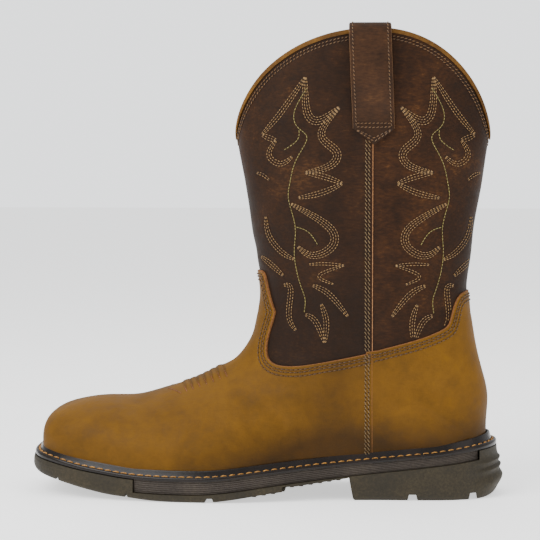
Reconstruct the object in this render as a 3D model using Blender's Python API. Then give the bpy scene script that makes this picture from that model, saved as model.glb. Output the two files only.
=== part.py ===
"""A pull-on western work boot, left foot: hollow upper, overlays, pull straps, storm welt and rubber sole.

The toe points along -X, the outer (lateral) side faces -Y, and the middle of the heel's flat stands on the
origin. Metres, +Z up.
"""

import math

import bmesh
import bpy
import numpy as np
from mathutils import Vector
from mathutils.bvhtree import BVHTree

# Driving sizes
SOLE_LENGTH = 0.3144
BALL_WIDTH = 0.113
HEEL_ALONG = 0.7888
TOE_LIP = 0.0013
HEEL_LIP = 0.0045
WELT_SHELF = 0.006
WELT_HEIGHT = 0.0063
WELT_FLARE = 0.0026
OUTSOLE_BALL = 0.0051
MIDSOLE_BALL = 0.0082
MIDSOLE_HEEL = 0.006
HEEL_RISE = 0.02
TOE_SPRING = 0.0123
INSTEP_RISE = 0.1067
SHAFT_RISE = 0.1852
COLLAR_DIP = 0.069
SHAFT_WIDTH = 0.076
UPPER_WALL = 0.0022
VAMP_THICK = 0.0015
COUNTER_THICK = 0.0011
LAP_STEP = 0.0008
GAP = 0.0003
SEAM_ALONG = 0.7252
BINDING_THICK = 0.0007
BINDING_DEPTH = 0.0026
BINDING_SLACK = 0.0005
STRAP_WIDTH = 0.0265
STRAP_THICK = 0.0024
STRAP_RISE = 0.0044
STRAP_SEAT = 0.0006
STRAP_BOW = 0.0068
STRAP_DROP = 0.0786
STRAP_POINT = 0.0105
STRAP_ALONG = 0.7242
STRAP_LEAN = 0.003
INSOLE_THICK = 0.004
INSOLE_CLEAR = 0.0012
MIDSOLE_INSET = 0.0012
BUMPER_WALL = 0.0043
LUG_DEPTH = 0.003
LUG_PITCH = 0.0115
LUG_GROOVE = 0.0028
LUG_RIM = 0.012

# How finely the forms are drawn
FOOT_ROWS = tuple(range(0, 20))
RING_ROWS = (20.5, 22, 23.5, 25, 26.5, 28, 30)
COLLAR_ROWS = 5
BACK_COLUMNS = 5
FRONT_COLUMNS = 8
SOLE_ROWS = 24
INSOLE_ROWS_EACH = 2
STRAP_STEPS = 18
STRAP_COLUMNS = 5
SEAM_LEAST = 0.42
SEAM_TIGHT = 0.003
CROWDING = 1.35
LAP_SHARE = 0.05

STACK_BALL = OUTSOLE_BALL + MIDSOLE_BALL
OVERLAY = VAMP_THICK + GAP
FEATHER_INSET = WELT_SHELF + OVERLAY
HEEL_FROM_TOE = HEEL_ALONG * SOLE_LENGTH
SEAM_X = (SEAM_ALONG - HEEL_ALONG) * SOLE_LENGTH
STRAP_X = (STRAP_ALONG - HEEL_ALONG) * SOLE_LENGTH
WELT_LENGTH = SOLE_LENGTH - TOE_LIP - HEEL_LIP

# The welt's outer edge seen from above, from the toe to the heel's back.
# Columns: along (share of the welt's length), lateral and medial (shares of half the ball's width).
OUTLINE = (
    (0.0000, -0.088, 0.088),
    (0.0015, 0.177, 0.354),
    (0.0070, 0.363, 0.522),
    (0.0200, 0.513, 0.646),
    (0.0450, 0.637, 0.743),
    (0.0900, 0.761, 0.832),
    (0.1500, 0.858, 0.903),
    (0.2200, 0.931, 0.956),
    (0.3000, 0.984, 0.973),
    (0.3800, 1.009, 0.924),
    (0.4600, 0.973, 0.832),
    (0.5500, 0.867, 0.708),
    (0.6400, 0.754, 0.634),
    (0.7300, 0.690, 0.625),
    (0.8200, 0.669, 0.648),
    (0.8900, 0.637, 0.625),
    (0.9400, 0.549, 0.543),
    (0.9750, 0.389, 0.389),
    (0.9950, 0.177, 0.177),
    (1.0000, 0.000, 0.000),
)
HEEL_ROW = 14
CLOSED_ROW = len(OUTLINE) - 1

# The upper's sections. Each foot row starts on the same row of the outline and each later row on the back.
# Columns: row, top_x (share of the sole's length from the toe), top_level (0 at the ball's seat, 1 at the
# instep, 2 at the collar's peak), back_x (share of the length behind the seat's end), back_level (as
# top_level, from the closed row on), lateral and medial (bulge, shares of the ball's width), shaft (0 foot,
# 1 shaft), widest (share of the way up), crown and base (roundness of the upper and the lower half), ridge
# (share of the ball's width).
SECTIONS = (
    (0, 0.0290, 0.092, 0, 0.190, 0.004, 0.004, 0, 0.35, 2.3, 2.2, 0.044),
    (1, 0.0298, 0.166, 0, 0.190, 0.004, 0.004, 0, 0.35, 2.4, 2.2, 0.044),
    (2, 0.0298, 0.222, 0, 0.190, 0.005, 0.005, 0, 0.35, 2.5, 2.2, 0.044),
    (3, 0.0290, 0.274, 0, 0.190, 0.006, 0.006, 0, 0.34, 2.6, 2.2, 0.046),
    (4, 0.0345, 0.323, 0, 0.190, 0.008, 0.008, 0, 0.33, 2.65, 2.2, 0.048),
    (5, 0.0530, 0.370, 0, 0.190, 0.010, 0.010, 0, 0.32, 2.6, 2.2, 0.050),
    (6, 0.0900, 0.410, 0, 0.190, 0.012, 0.012, 0, 0.31, 2.5, 2.2, 0.052),
    (7, 0.1470, 0.434, 0, 0.190, 0.013, 0.014, 0, 0.30, 2.35, 2.2, 0.054),
    (8, 0.2159, 0.442, 0, 0.190, 0.014, 0.016, 0, 0.28, 2.15, 2.2, 0.054),
    (9, 0.2866, 0.499, 0, 0.190, 0.014, 0.020, 0, 0.27, 1.98, 2.2, 0.052),
    (10, 0.3462, 0.556, 0, 0.190, 0.014, 0.028, 0, 0.27, 1.90, 2.2, 0.046),
    (11, 0.3973, 0.632, 0, 0.190, 0.018, 0.040, 0, 0.28, 1.90, 2.2, 0.038),
    (12, 0.4356, 0.696, 0, 0.190, 0.030, 0.052, 0, 0.31, 1.95, 2.2, 0.028),
    (13, 0.4668, 0.817, 0, 0.190, 0.042, 0.058, 0, 0.34, 2.02, 2.2, 0.018),
    (14, 0.4783, 0.911, 0, 0.190, 0.050, 0.056, 0, 0.37, 2.08, 2.2, 0.010),
    (15, 0.4847, 1.000, 0, 0.190, 0.054, 0.055, 0.02, 0.38, 2.12, 2.25, 0.005),
    (16, 0.4888, 1.052, 0, 0.190, 0.055, 0.055, 0.05, 0.39, 2.15, 2.3, 0.002),
    (17, 0.4882, 1.101, 0, 0.190, 0.055, 0.055, 0.08, 0.40, 2.18, 2.35, 0),
    (18, 0.4837, 1.147, 0, 0.190, 0.055, 0.055, 0.11, 0.40, 2.2, 2.4, 0),
    (19, 0.4786, 1.190, 0, 0.190, 0.055, 0.055, 0.15, 0.41, 2.22, 2.4, 0),
    (20, 0.4751, 1.231, -0.0010, 0.337, 0.055, 0.055, 0.20, 0.42, 2.25, 2.4, 0),
    (21, 0.4707, 1.269, 0.0010, 0.501, 0.055, 0.055, 0.27, 0.43, 2.25, 2.38, 0),
    (22, 0.4668, 1.307, -0.0115, 0.660, 0.055, 0.055, 0.35, 0.44, 2.25, 2.36, 0),
    (23, 0.4636, 1.344, -0.0245, 0.824, 0.055, 0.055, 0.43, 0.45, 2.25, 2.34, 0),
    (24, 0.4608, 1.380, -0.0345, 0.988, 0.055, 0.055, 0.51, 0.46, 2.25, 2.32, 0),
    (25, 0.4579, 1.413, -0.0397, 1.093, 0.055, 0.055, 0.60, 0.47, 2.25, 2.3, 0),
    (26, 0.4547, 1.446, -0.0318, 1.197, 0.055, 0.055, 0.69, 0.48, 2.25, 2.28, 0),
    (27, 0.4519, 1.476, -0.0263, 1.298, 0.055, 0.055, 0.77, 0.49, 2.25, 2.26, 0),
    (28, 0.4486, 1.505, -0.0165, 1.394, 0.055, 0.055, 0.84, 0.50, 2.25, 2.25, 0),
    (29, 0.4454, 1.533, -0.0085, 1.476, 0.055, 0.055, 0.90, 0.50, 2.25, 2.25, 0),
    (30, 0.4422, 1.560, -0.0010, 1.560, 0.055, 0.055, 0.95, 0.50, 2.25, 2.25, 0),
    (32.5, 0.4346, 1.636, 0.0054, 1.636, 0.055, 0.055, 0.98, 0.50, 2.25, 2.25, 0),
    (36, 0.4327, 1.734, 0.0060, 1.734, 0.055, 0.055, 1.00, 0.50, 2.25, 2.25, 0),
    (41, 0.4321, 1.870, 0.0060, 1.870, 0.055, 0.055, 1.02, 0.50, 2.25, 2.25, 0),
    (46, 0.4321, 2.016, 0.0060, 2.016, 0.055, 0.055, 1.04, 0.50, 2.25, 2.25, 0),
)
COLUMNS = ("row", "top_x", "top_level", "back_x", "back_level", "lateral", "medial", "shaft", "widest", "crown",
           "base", "ridge")
SETTLE_ROWS = 5
LEVEL_ROW = 30
TOP_ROW = 46
COLLAR_POWER = 2.1
COLLAR_SOFT = 0.12
COLLAR_PEAK = 0.44
COLLAR_LEVEL = 2.0
FLARE_FROM = 0.72
LAP_FROM = 0.80
TREAD_FROM = 0.105
TREAD_TO = 0.9

# The seat under the upper. Columns: along (share of the sole's length), toe and heel (shares of the toe
# spring and of the heel's rise).
SEAT = (
    (0.000, 1, 0),
    (0.032, 0.85, 0),
    (0.105, 0.5, 0),
    (0.155, 0.315, 0),
    (0.213, 0.12, 0),
    (0.264, 0.03, 0),
    (0.312, 0, 0),
    (0.371, 0, 0),
    (0.440, 0, 0.08),
    (0.520, 0, 0.23),
    (0.654, 0, 0.44),
    (0.798, 0, 0.655),
    (0.887, 0, 0.81),
    (0.950, 0, 0.935),
    (1.000, 0, 1),
)

# The outsole's underside, toe and heel ends, before the arch is cut out. Columns as the seat's.
UNDERSIDE = (
    (0.000, 1.43, 0),
    (0.023, 1.15, 0),
    (0.067, 0.87, 0),
    (0.156, 0.38, 0),
    (0.212, 0.195, 0),
    (0.262, 0.06, 0),
    (0.297, 0.01, 0),
    (0.319, 0, 0),
    (0.446, 0, 0),
    (0.697, 0, 0),
    (0.890, 0, 0),
    (0.944, 0, 0),
    (0.961, 0, 0.02),
    (0.979, 0, 0.08),
    (1.000, 0, 0.2),
)

# The hollow between forepart and heel, seen from the side. Columns: along (share of the sole's length),
# height (share of the heel's rise).
ARCH = (
    (0.396, -0.200),
    (0.400, 0.020),
    (0.447, 0.120),
    (0.482, 0.210),
    (0.517, 0.290),
    (0.542, 0.335),
    (0.543, 0.495),
    (0.572, 0.510),
    (0.619, 0.615),
    (0.670, 0.730),
    (0.679, 0.760),
    (0.687, 0.070),
    (0.691, -0.010),
    (0.693, -0.200),
)

# Notches across the tread. Columns: along, width (shares of the sole's length), depth (share of lug depth).
NOTCHES = (
    (0.067, 0.007, 0.75),
    (0.219, 0.006, 0.75),
    (0.393, 0.019, 1.00),
    (0.810, 0.021, 1.35),
    (0.935, 0.017, 1.50),
)

# The rubber's side wall, from the top down. Columns: height (share of the wall), side (out from the welt's
# edge at the sides, share of the toe lip), heel (the same round the heel, share of the heel lip).
WALL_RINGS = (
    (1.000, 0.45, 0.05),
    (0.800, 0.80, 0.24),
    (0.720, 0.90, 0.60),
    (0.630, 0.95, 0.38),
    (0.555, 1.00, 0.74),
    (0.460, 1.00, 0.54),
    (0.300, 1.00, 1.00),
    (0.140, 0.70, 0.50),
    (0.050, 0.00, 0.10),
    (0.000, -1.00, -0.20),
)
RIBS_FROM = 0.935
RIBS_FULL = 0.965
BAND_FROM = 0.2345
BAND_TO = 0.9475

# The welt's section. Columns: inset (share of the shelf), height (share of the welt's height).
WELT_SECTION = (
    (0.00, 0.00),
    (-0.03, 0.18),
    (0.06, 0.36),
    (0.26, 0.38),
    (0.42, 0.26),
    (0.66, 0.74),
    (0.78, 1.00),
    (0.93, 1.00),
    (0.95, 0.00),
)

# The overlay's top edges seen from the side. Columns: along (share of the sole's length from the toe),
# level (as in the sections).
VAMP_EDGE_LOW = (
    (0.7258, 0.775),
    (0.6689, 0.736),
    (0.5947, 0.692),
    (0.5388, 0.678),
    (0.5124, 0.702),
    (0.5032, 0.753),
    (0.5047, 0.838),
    (0.5140, 0.936),
    (0.5207, 1.007),
)
VAMP_EDGE_TAB = (
    (0.5207, 1.007),
    (0.5105, 1.056),
    (0.5019, 1.119),
    (0.4952, 1.147),
    (0.4831, 1.149),
)
COUNTER_EDGE = (
    (0.7258, 0.780),
    (0.8162, 0.853),
    (0.8638, 0.904),
    (0.8829, 0.944),
    (0.8900, 1.005),
    (0.9020, 1.060),
    (0.9176, 1.079),
)

# The pull strap's run, from its point up the outside, over the collar and down inside. Columns: height
# (share of the strap's drop above its point), out (share of its bow; the wall is between -0.2 and 0).
STRAP_RUN = (
    (0.15, 0.00),
    (0.25, 0.06),
    (0.40, 0.52),
    (0.56, 0.92),
    (0.74, 1.00),
    (0.90, 0.90),
    (0.985, 0.46),
    (1.000, -0.12),
    (0.985, -0.70),
    (0.90, -1.05),
    (0.74, -1.10),
    (0.56, -0.98),
    (0.40, -0.62),
    (0.30, -0.20),
    (0.22, -0.10),
    (0.14, -0.10),
)


def smooth(knots, table, at):
    """Natural cubic curves through the rows of a table, read at the places in at."""
    knots = np.asarray(knots, float)
    values = np.asarray(table, float)
    step = np.diff(knots)
    slope = np.diff(values, axis=0) / step[:, None]
    count = len(knots)
    system = np.eye(count)
    right = np.zeros_like(values)
    for i in range(1, count - 1):
        system[i, i - 1 : i + 2] = step[i - 1], 2 * (step[i - 1] + step[i]), step[i]
        right[i] = 6 * (slope[i] - slope[i - 1])
    bend = np.linalg.solve(system, right)
    at = np.atleast_1d(np.asarray(at, float))
    i = np.clip(np.searchsorted(knots, at, side="right") - 1, 0, count - 2)
    wide = step[i][:, None]
    f = ((at - knots[i]) / step[i])[:, None]
    g = 1 - f
    cubic = ((g**3 - g) * bend[i] + (f**3 - f) * bend[i + 1]) * wide**2 / 6
    return g * values[i] + f * values[i + 1] + cubic


def rise(table, x):
    """Height above the ball's level that a table of toe and heel shares gives at x."""
    rows = np.array(table)
    fine = smooth(np.arange(len(rows)), rows, np.linspace(0, len(rows) - 1, 20 * len(rows)))
    along = (np.asarray(x, float) + HEEL_FROM_TOE) / SOLE_LENGTH
    toe = np.interp(along, fine[:, 0], fine[:, 1])
    heel = np.interp(along, fine[:, 0], fine[:, 2])
    return TOE_SPRING * np.maximum(toe, 0) + HEEL_RISE * np.maximum(heel, 0)


def seat(x):
    """Height of the midsole's top, which carries the upper and the welt."""
    return STACK_BALL + rise(SEAT, x)


def midsole_bottom(x):
    """Height of the line between midsole and rubber."""
    along = (np.asarray(x, float) + HEEL_FROM_TOE) / SOLE_LENGTH
    heelward = np.clip((along - 0.35) / 0.5, 0, 1)
    return seat(x) - MIDSOLE_BALL - (MIDSOLE_HEEL - MIDSOLE_BALL) * heelward


def level_height(level):
    """Height of a level: 0 the ball's seat, 1 the instep, 2 the collar's peak."""
    level = np.asarray(level, float)
    return STACK_BALL + INSTEP_RISE * np.minimum(level, 1) + SHAFT_RISE * np.maximum(level - 1, 0)


def outline_loop(rows, inset):
    """The welt's edge moved in by inset, which may be a number for each point, as toe, lateral, heel, medial."""
    table = smooth(np.arange(len(OUTLINE)), OUTLINE, rows)
    x = table[:, 0] * WELT_LENGTH + TOE_LIP - HEEL_FROM_TOE
    lateral = np.column_stack((x, -table[:, 1] * BALL_WIDTH / 2))
    medial = np.column_stack((x, table[:, 2] * BALL_WIDTH / 2))
    loop = np.vstack((lateral, medial[-2:0:-1]))
    along = np.roll(loop, -1, axis=0) - np.roll(loop, 1, axis=0)
    along /= np.linalg.norm(along, axis=1)[:, None]
    outward = np.column_stack((along[:, 1], -along[:, 0]))
    depth = inset(loop[:, 0]) if callable(inset) else inset
    return loop - outward * np.reshape(depth, (-1, 1))


def feather(rows):
    """Lateral and medial points of the upper's lower edge at rows of the outline."""
    fine = np.linspace(0, CLOSED_ROW, 40 * CLOSED_ROW + 1)
    loop = outline_loop(fine, FEATHER_INSET)
    count = len(fine)
    lateral = loop[:count]
    medial = np.vstack((loop[:1], loop[: count - 2 : -1]))
    rows = np.clip(rows, 0, CLOSED_ROW)
    sides = []
    for points in (lateral, medial):
        sides.append(np.column_stack([np.interp(rows, fine, points[:, k]) for k in (0, 1)]))
    return sides


def half_section(row, side, share):
    """Points of one section on one side (-1 lateral, 1 medial), share 0 at its foot and 1 on the ridge."""
    table = dict(zip(COLUMNS, smooth([r[0] for r in SECTIONS], SECTIONS, row)[0]))
    lateral, medial = (points[0] for points in feather(np.array([row])))
    widest_lateral, widest_medial = (points[0] for points in feather(np.array([min(row, HEEL_ROW)])))
    foot = medial if side > 0 else lateral
    start = (medial[1] - lateral[1]) / 2
    middle = (medial[1] + lateral[1]) / 2
    bulge = table["medial" if side > 0 else "lateral"] * BALL_WIDTH
    reach = (widest_medial[1] - widest_lateral[1]) / 2 + bulge
    reach += table["shaft"] * (SHAFT_WIDTH / 2 - reach)
    low = np.array((foot[0], seat(foot[0]) + GAP))
    if row > CLOSED_ROW:
        settle = max(1 - (row - CLOSED_ROW) / SETTLE_ROWS, 0)
        seated = low[1] - level_height(SECTIONS[CLOSED_ROW][4])
        low[0] += table["back_x"] * SOLE_LENGTH
        low[1] = level_height(table["back_level"]) + seated * settle
    high = np.array((table["top_x"] * SOLE_LENGTH - HEEL_FROM_TOE, level_height(table["top_level"])))
    if row == 0:
        high = low
    widest, crown, base = table["widest"], table["crown"], table["base"]
    span = widest / (1 - (start / reach) ** base) ** (1 / base) if start > 1e-6 else widest
    up = np.clip((share - widest) / (1 - widest), 0, 1)
    down = np.clip((widest - share) / span, 0, 1)
    width = reach * (1 - up**crown) ** (1 / crown) * (1 - down**base) ** (1 / base)
    blend = share * share * (3 - 2 * share)
    y = middle * (1 - blend) + table["ridge"] * BALL_WIDTH * blend + side * width
    return np.column_stack((low[0] + (high[0] - low[0]) * share, y, low[1] + (high[1] - low[1]) * share))


def column_shares(row, side, back, front):
    """Shares of a section's columns: even along its arc, with one column on the side seam where it crosses."""
    share = (1 - np.cos(np.pi * np.linspace(0, 1, 121))) / 2
    points = half_section(row, side, share)
    arc = np.concatenate(((0,), np.cumsum(np.linalg.norm(np.diff(points, axis=0), axis=1))))
    arc /= max(arc[-1], 1e-9)
    low, high = points[0, 0], points[-1, 0]
    crossing = np.interp((low - SEAM_X) / (low - high), share, arc) if low > SEAM_X else 0
    seam = max(crossing, SEAM_LEAST)
    tight = np.interp(row, (CLOSED_ROW - 3, CLOSED_ROW - 1), (SEAM_LEAST / (back + 1), SEAM_TIGHT))
    lap = seam + LAP_SHARE
    places = np.concatenate((
        (seam - tight) * np.linspace(0, 1, back + 1) ** CROWDING,
        (seam, lap),
        1 - (1 - lap) * np.linspace(1, 0, front + 1)[1:] ** CROWDING,
    ))
    return np.interp(places, arc, share)


def collar_level(share):
    """The collar's height round the shaft: a dip at front and back, a peak at each side."""
    across = np.abs(share - COLLAR_PEAK) / np.where(share < COLLAR_PEAK, COLLAR_PEAK, 1 - COLLAR_PEAK)
    climb = np.sqrt(1 - across**COLLAR_POWER + COLLAR_SOFT**2)
    climb = (climb - COLLAR_SOFT) / (math.sqrt(1 + COLLAR_SOFT**2) - COLLAR_SOFT)
    return level_height(COLLAR_LEVEL) - COLLAR_DIP * (1 - climb)


def upper_surface(foot_rows, ring_rows, collar_rows, back, front):
    """The upper's outer face as rows of points, each from the lateral foot over the ridge to the medial foot."""
    rows = np.concatenate((foot_rows, ring_rows))
    grid = []
    for row in rows:
        halves = []
        for side in (-1, 1):
            halves.append(half_section(row, side, column_shares(row, side, back, front)))
        grid.append(np.vstack((halves[0], halves[1][-2::-1])))
    above = np.linspace(LEVEL_ROW, TOP_ROW, 25)
    columns = []
    for side in (-1, 1):
        share = column_shares(LEVEL_ROW, side, back, front)
        stack = np.array([half_section(row, side, share) for row in above])
        places = []
        for k in range(len(share)):
            target = np.linspace(stack[0, k, 2], collar_level(share[k]), collar_rows + 1)[1:]
            places.append([[np.interp(z, stack[:, k, 2], stack[:, k, a]) for a in (0, 1)] + [z] for z in target])
        columns.append(np.array(places).transpose(1, 0, 2))
    for lateral, medial in zip(*columns):
        grid.append(np.vstack((lateral, medial[-2::-1])))
    return np.array(grid), len(foot_rows) - 1


class Skin:
    """The upper's outer face as a welded mesh, with the normals that walls and overlays are offset along."""

    def __init__(self, grid, closed):
        rows, columns = grid.shape[:2]
        self.grid = grid
        index = np.zeros((rows, columns), int)
        points = [grid[0, 0]]
        for r in range(1, rows):
            last = columns - 1 if r >= closed else columns
            for c in range(last):
                index[r, c] = len(points)
                points.append(grid[r, c])
            if r >= closed:
                index[r, columns - 1] = index[r, 0]
        self.index = index
        self.points = np.array(points)
        self.faces = []
        for r in range(rows - 1):
            for c in range(columns - 1):
                a, b, d, e = (int(i) for i in (index[r, c], index[r, c + 1], index[r + 1, c + 1], index[r + 1, c]))
                rising = np.linalg.norm(self.points[a] - self.points[d])
                falling = np.linalg.norm(self.points[b] - self.points[e])
                halves = ([a, b, d], [a, d, e]) if rising < falling else ([a, b, e], [b, d, e])
                self.faces += [half for half in halves if len(set(half)) == 3]
        mesh = bpy.data.meshes.new("skin")
        mesh.from_pydata([tuple(p) for p in self.points], [], self.faces)
        self.normals = np.array([tuple(v.normal) for v in mesh.vertices])
        bpy.data.meshes.remove(mesh)
        widest = int(np.argmin(self.points[:, 1]))
        if self.normals[widest, 1] > 0:
            self.normals = -self.normals
        self.seated = sorted({int(index[r, c]) for r in range(closed + 1) for c in (0, columns - 1)})
        self.normals[self.seated, 2] = 0
        self.normals /= np.linalg.norm(self.normals, axis=1)[:, None]

    def shifted(self, distance):
        """The points moved out along the normals, with the lower edge kept on the seat."""
        points = self.points + self.normals * np.reshape(distance, (-1, 1))
        points[self.seated, 2] = seat(points[self.seated, 0]) + GAP
        return points

    def wall(self, outer, inner):
        """Vertices and faces of the closed wall between two shifted copies."""
        count = len(self.points)
        faces = [list(f) for f in self.faces] + [[i + count for i in reversed(f)] for f in self.faces]
        used = {}
        for face in self.faces:
            for a, b in zip(face, face[1:] + face[:1]):
                used[(a, b)] = True
        for a, b in used:
            if (b, a) not in used:
                faces.append([b, a, a + count, b + count])
        return np.vstack((outer, inner)), faces


def add_solid(name, points, faces, material, collection):
    """A mesh object from points and faces, with its faces turned outwards."""
    mesh = bpy.data.meshes.new(name)
    mesh.from_pydata([tuple(float(v) for v in p) for p in points], [], faces)
    shape = bmesh.new()
    shape.from_mesh(mesh)
    bmesh.ops.recalc_face_normals(shape, faces=shape.faces)
    bmesh.ops.triangulate(shape, faces=[f for f in shape.faces if len(f.verts) > 4])
    shape.to_mesh(mesh)
    shape.free()
    mesh.shade_smooth()
    mesh.set_sharp_from_angle(angle=math.radians(40))
    if material:
        mesh.materials.append(material)
    solid = bpy.data.objects.new(name, mesh)
    collection.objects.link(solid)
    return solid


def stack_mesh(rings, rows):
    """Points and faces of a closed solid between rings round the sole. A ring is (inset, height), each a
    number or a function of x."""
    points = []
    for inset, height in rings:
        loop = outline_loop(rows, inset)
        z = height(loop[:, 0]) if callable(height) else np.full(len(loop), height)
        points.append(np.column_stack((loop, z)))
    count = len(points[0])
    faces = []
    for k in range(len(points) - 1):
        for i in range(count):
            j = (i + 1) % count
            faces.append([k * count + i, k * count + j, (k + 1) * count + j, (k + 1) * count + i])
    last = (len(points) - 1) * count
    for base in (0, last):
        for i in range(len(rows) - 1):
            corners = [base + i, base + i + 1, base + (count - i - 1) % count, base + (count - i) % count]
            faces.append(list(dict.fromkeys(corners)))
    return np.vstack(points), faces


def welt_height(x):
    """The welt's height: it stands taller round the toe and the heel."""
    ends = np.abs(2 * (x + HEEL_FROM_TOE) / SOLE_LENGTH - 1)
    return WELT_HEIGHT + WELT_FLARE * np.clip((ends - FLARE_FROM) / (1 - FLARE_FROM), 0, 1)


def band_mesh(section, rows):
    """Points and faces of a closed ring on the seat with a section of (inset, share of the welt's height)."""
    points = []
    for inset, height in section:
        loop = outline_loop(rows, inset)
        points.append(np.column_stack((loop, seat(loop[:, 0]) + GAP + height * welt_height(loop[:, 0]))))
    count = len(points[0])
    faces = []
    for k in range(len(points)):
        n = (k + 1) % len(points)
        for i in range(count):
            j = (i + 1) % count
            faces.append([k * count + i, k * count + j, n * count + j, n * count + i])
    return np.vstack(points), faces


def prism(name, profile, near, far, collection):
    """A cutter: an XZ profile drawn along Y."""
    shape = bmesh.new()
    front = [shape.verts.new((x, near, z)) for x, z in profile]
    face = shape.faces.new(front)
    moved = bmesh.ops.extrude_face_region(shape, geom=[face])
    verts = [v for v in moved["geom"] if isinstance(v, bmesh.types.BMVert)]
    bmesh.ops.translate(shape, verts=verts, vec=(0, far - near, 0))
    bmesh.ops.recalc_face_normals(shape, faces=shape.faces)
    mesh = bpy.data.meshes.new(name)
    shape.to_mesh(mesh)
    shape.free()
    cutter = bpy.data.objects.new(name, mesh)
    cutter.hide_render = True
    cutter.display_type = "WIRE"
    collection.objects.link(cutter)
    return cutter


def combine(solid, other, operation):
    """A Boolean modifier that cuts, joins or keeps what is common."""
    modifier = solid.modifiers.new(other.name, "BOOLEAN")
    modifier.operation = operation
    modifier.object = other
    other.hide_render = True
    other.display_type = "WIRE"


def finish(name, colour, roughness):
    """A Principled material."""
    material = bpy.data.materials.new(name)
    material.use_nodes = True
    shader = material.node_tree.nodes["Principled BSDF"]
    shader.inputs["Base Color"].default_value = (*colour, 1)
    shader.inputs["Roughness"].default_value = roughness
    shader.inputs["Metallic"].default_value = 0
    return material


def level_points(table):
    """World x and z of an edge drawn as (along, level), smoothed between its rows."""
    rows = smooth(np.arange(len(table)), table, np.linspace(0, len(table) - 1, 3 * len(table) - 2))
    return [(a * SOLE_LENGTH - HEEL_FROM_TOE, float(level_height(l))) for a, l in rows]


def make_upper(skin, material, collection):
    """The hollow shell, with the front panel's lap as a step in its wall along each side seam."""
    lap = np.zeros(len(skin.points))
    columns = skin.grid.shape[1]
    low = float(level_height(LAP_FROM))
    high = strap_tip_height()
    for r in range(skin.grid.shape[0]):
        for c in (BACK_COLUMNS + 1, columns - 2 - BACK_COLUMNS):
            under, here = skin.grid[r - 1, c, 2], skin.grid[r, c, 2]
            if r > len(FOOT_ROWS) - 4 and low < under and here < high:
                lap[skin.index[r, c]] = LAP_STEP
    points, faces = skin.wall(skin.shifted(lap), skin.shifted(-UPPER_WALL))
    return add_solid("upper", points, faces, material, collection)


def make_overlay(name, skin, thick, profile, material, collection, cutters):
    """A panel of the foot: the upper's own form, grown twice, and cut to its outline."""
    points, faces = skin.wall(skin.shifted(GAP + thick), skin.shifted(GAP))
    panel = add_solid(name, points, faces, material, collection)
    combine(panel, prism(name + "_outline", profile, -BALL_WIDTH, BALL_WIDTH, cutters), "INTERSECT")
    return panel


def vamp_profile():
    """The vamp's outline from the side: the foot's front up to its tab, back to the side seam."""
    edge = level_points(VAMP_EDGE_LOW)[:-1] + level_points(VAMP_EDGE_TAB)
    front = -HEEL_FROM_TOE - WELT_SHELF
    return [(SEAM_X, -STACK_BALL), (SEAM_X, edge[0][1])] + edge[1:] + [(front, edge[-1][1]), (front, -STACK_BALL)]


def counter_profile():
    """The counter's outline from the side: from the side seam to the back."""
    edge = level_points(COUNTER_EDGE)
    back = SOLE_LENGTH
    start = SEAM_X + GAP
    return [(back, -STACK_BALL), (back, edge[-1][1])] + edge[:0:-1] + [(start, edge[0][1]), (start, -STACK_BALL)]


def make_binding(skin, material, collection):
    """The collar's binding: a channel folded over the wall's edge all the way round."""
    ring = skin.index[-1, :-1]
    normals = skin.normals[ring]
    edge = skin.points[ring]
    along = np.roll(edge, -1, axis=0) - np.roll(edge, 1, axis=0)
    up = np.cross(along, normals)
    up /= np.linalg.norm(up, axis=1)[:, None]
    up *= np.sign(np.sum(up[:, 2]))
    clear = GAP + BINDING_SLACK
    outside = clear + BINDING_THICK
    inside = -UPPER_WALL - outside
    section = (
        (outside, -BINDING_DEPTH),
        (outside, outside),
        (inside, outside),
        (inside, -BINDING_DEPTH),
        (inside + BINDING_THICK, -BINDING_DEPTH),
        (inside + BINDING_THICK, clear),
        (clear, clear),
        (clear, -BINDING_DEPTH),
    )
    points = np.vstack([skin.points[ring] + normals * out + up * high for out, high in section])
    count = len(ring)
    faces = []
    for k in range(len(section)):
        n = (k + 1) % len(section)
        for i in range(count):
            j = (i + 1) % count
            faces.append([k * count + i, k * count + j, n * count + j, n * count + i])
    return add_solid("collar_binding", points, faces, material, collection)


def strap_tip_height():
    """Height of the pull strap's point."""
    return float(level_height(COLLAR_LEVEL)) + STRAP_RISE - STRAP_DROP


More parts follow.
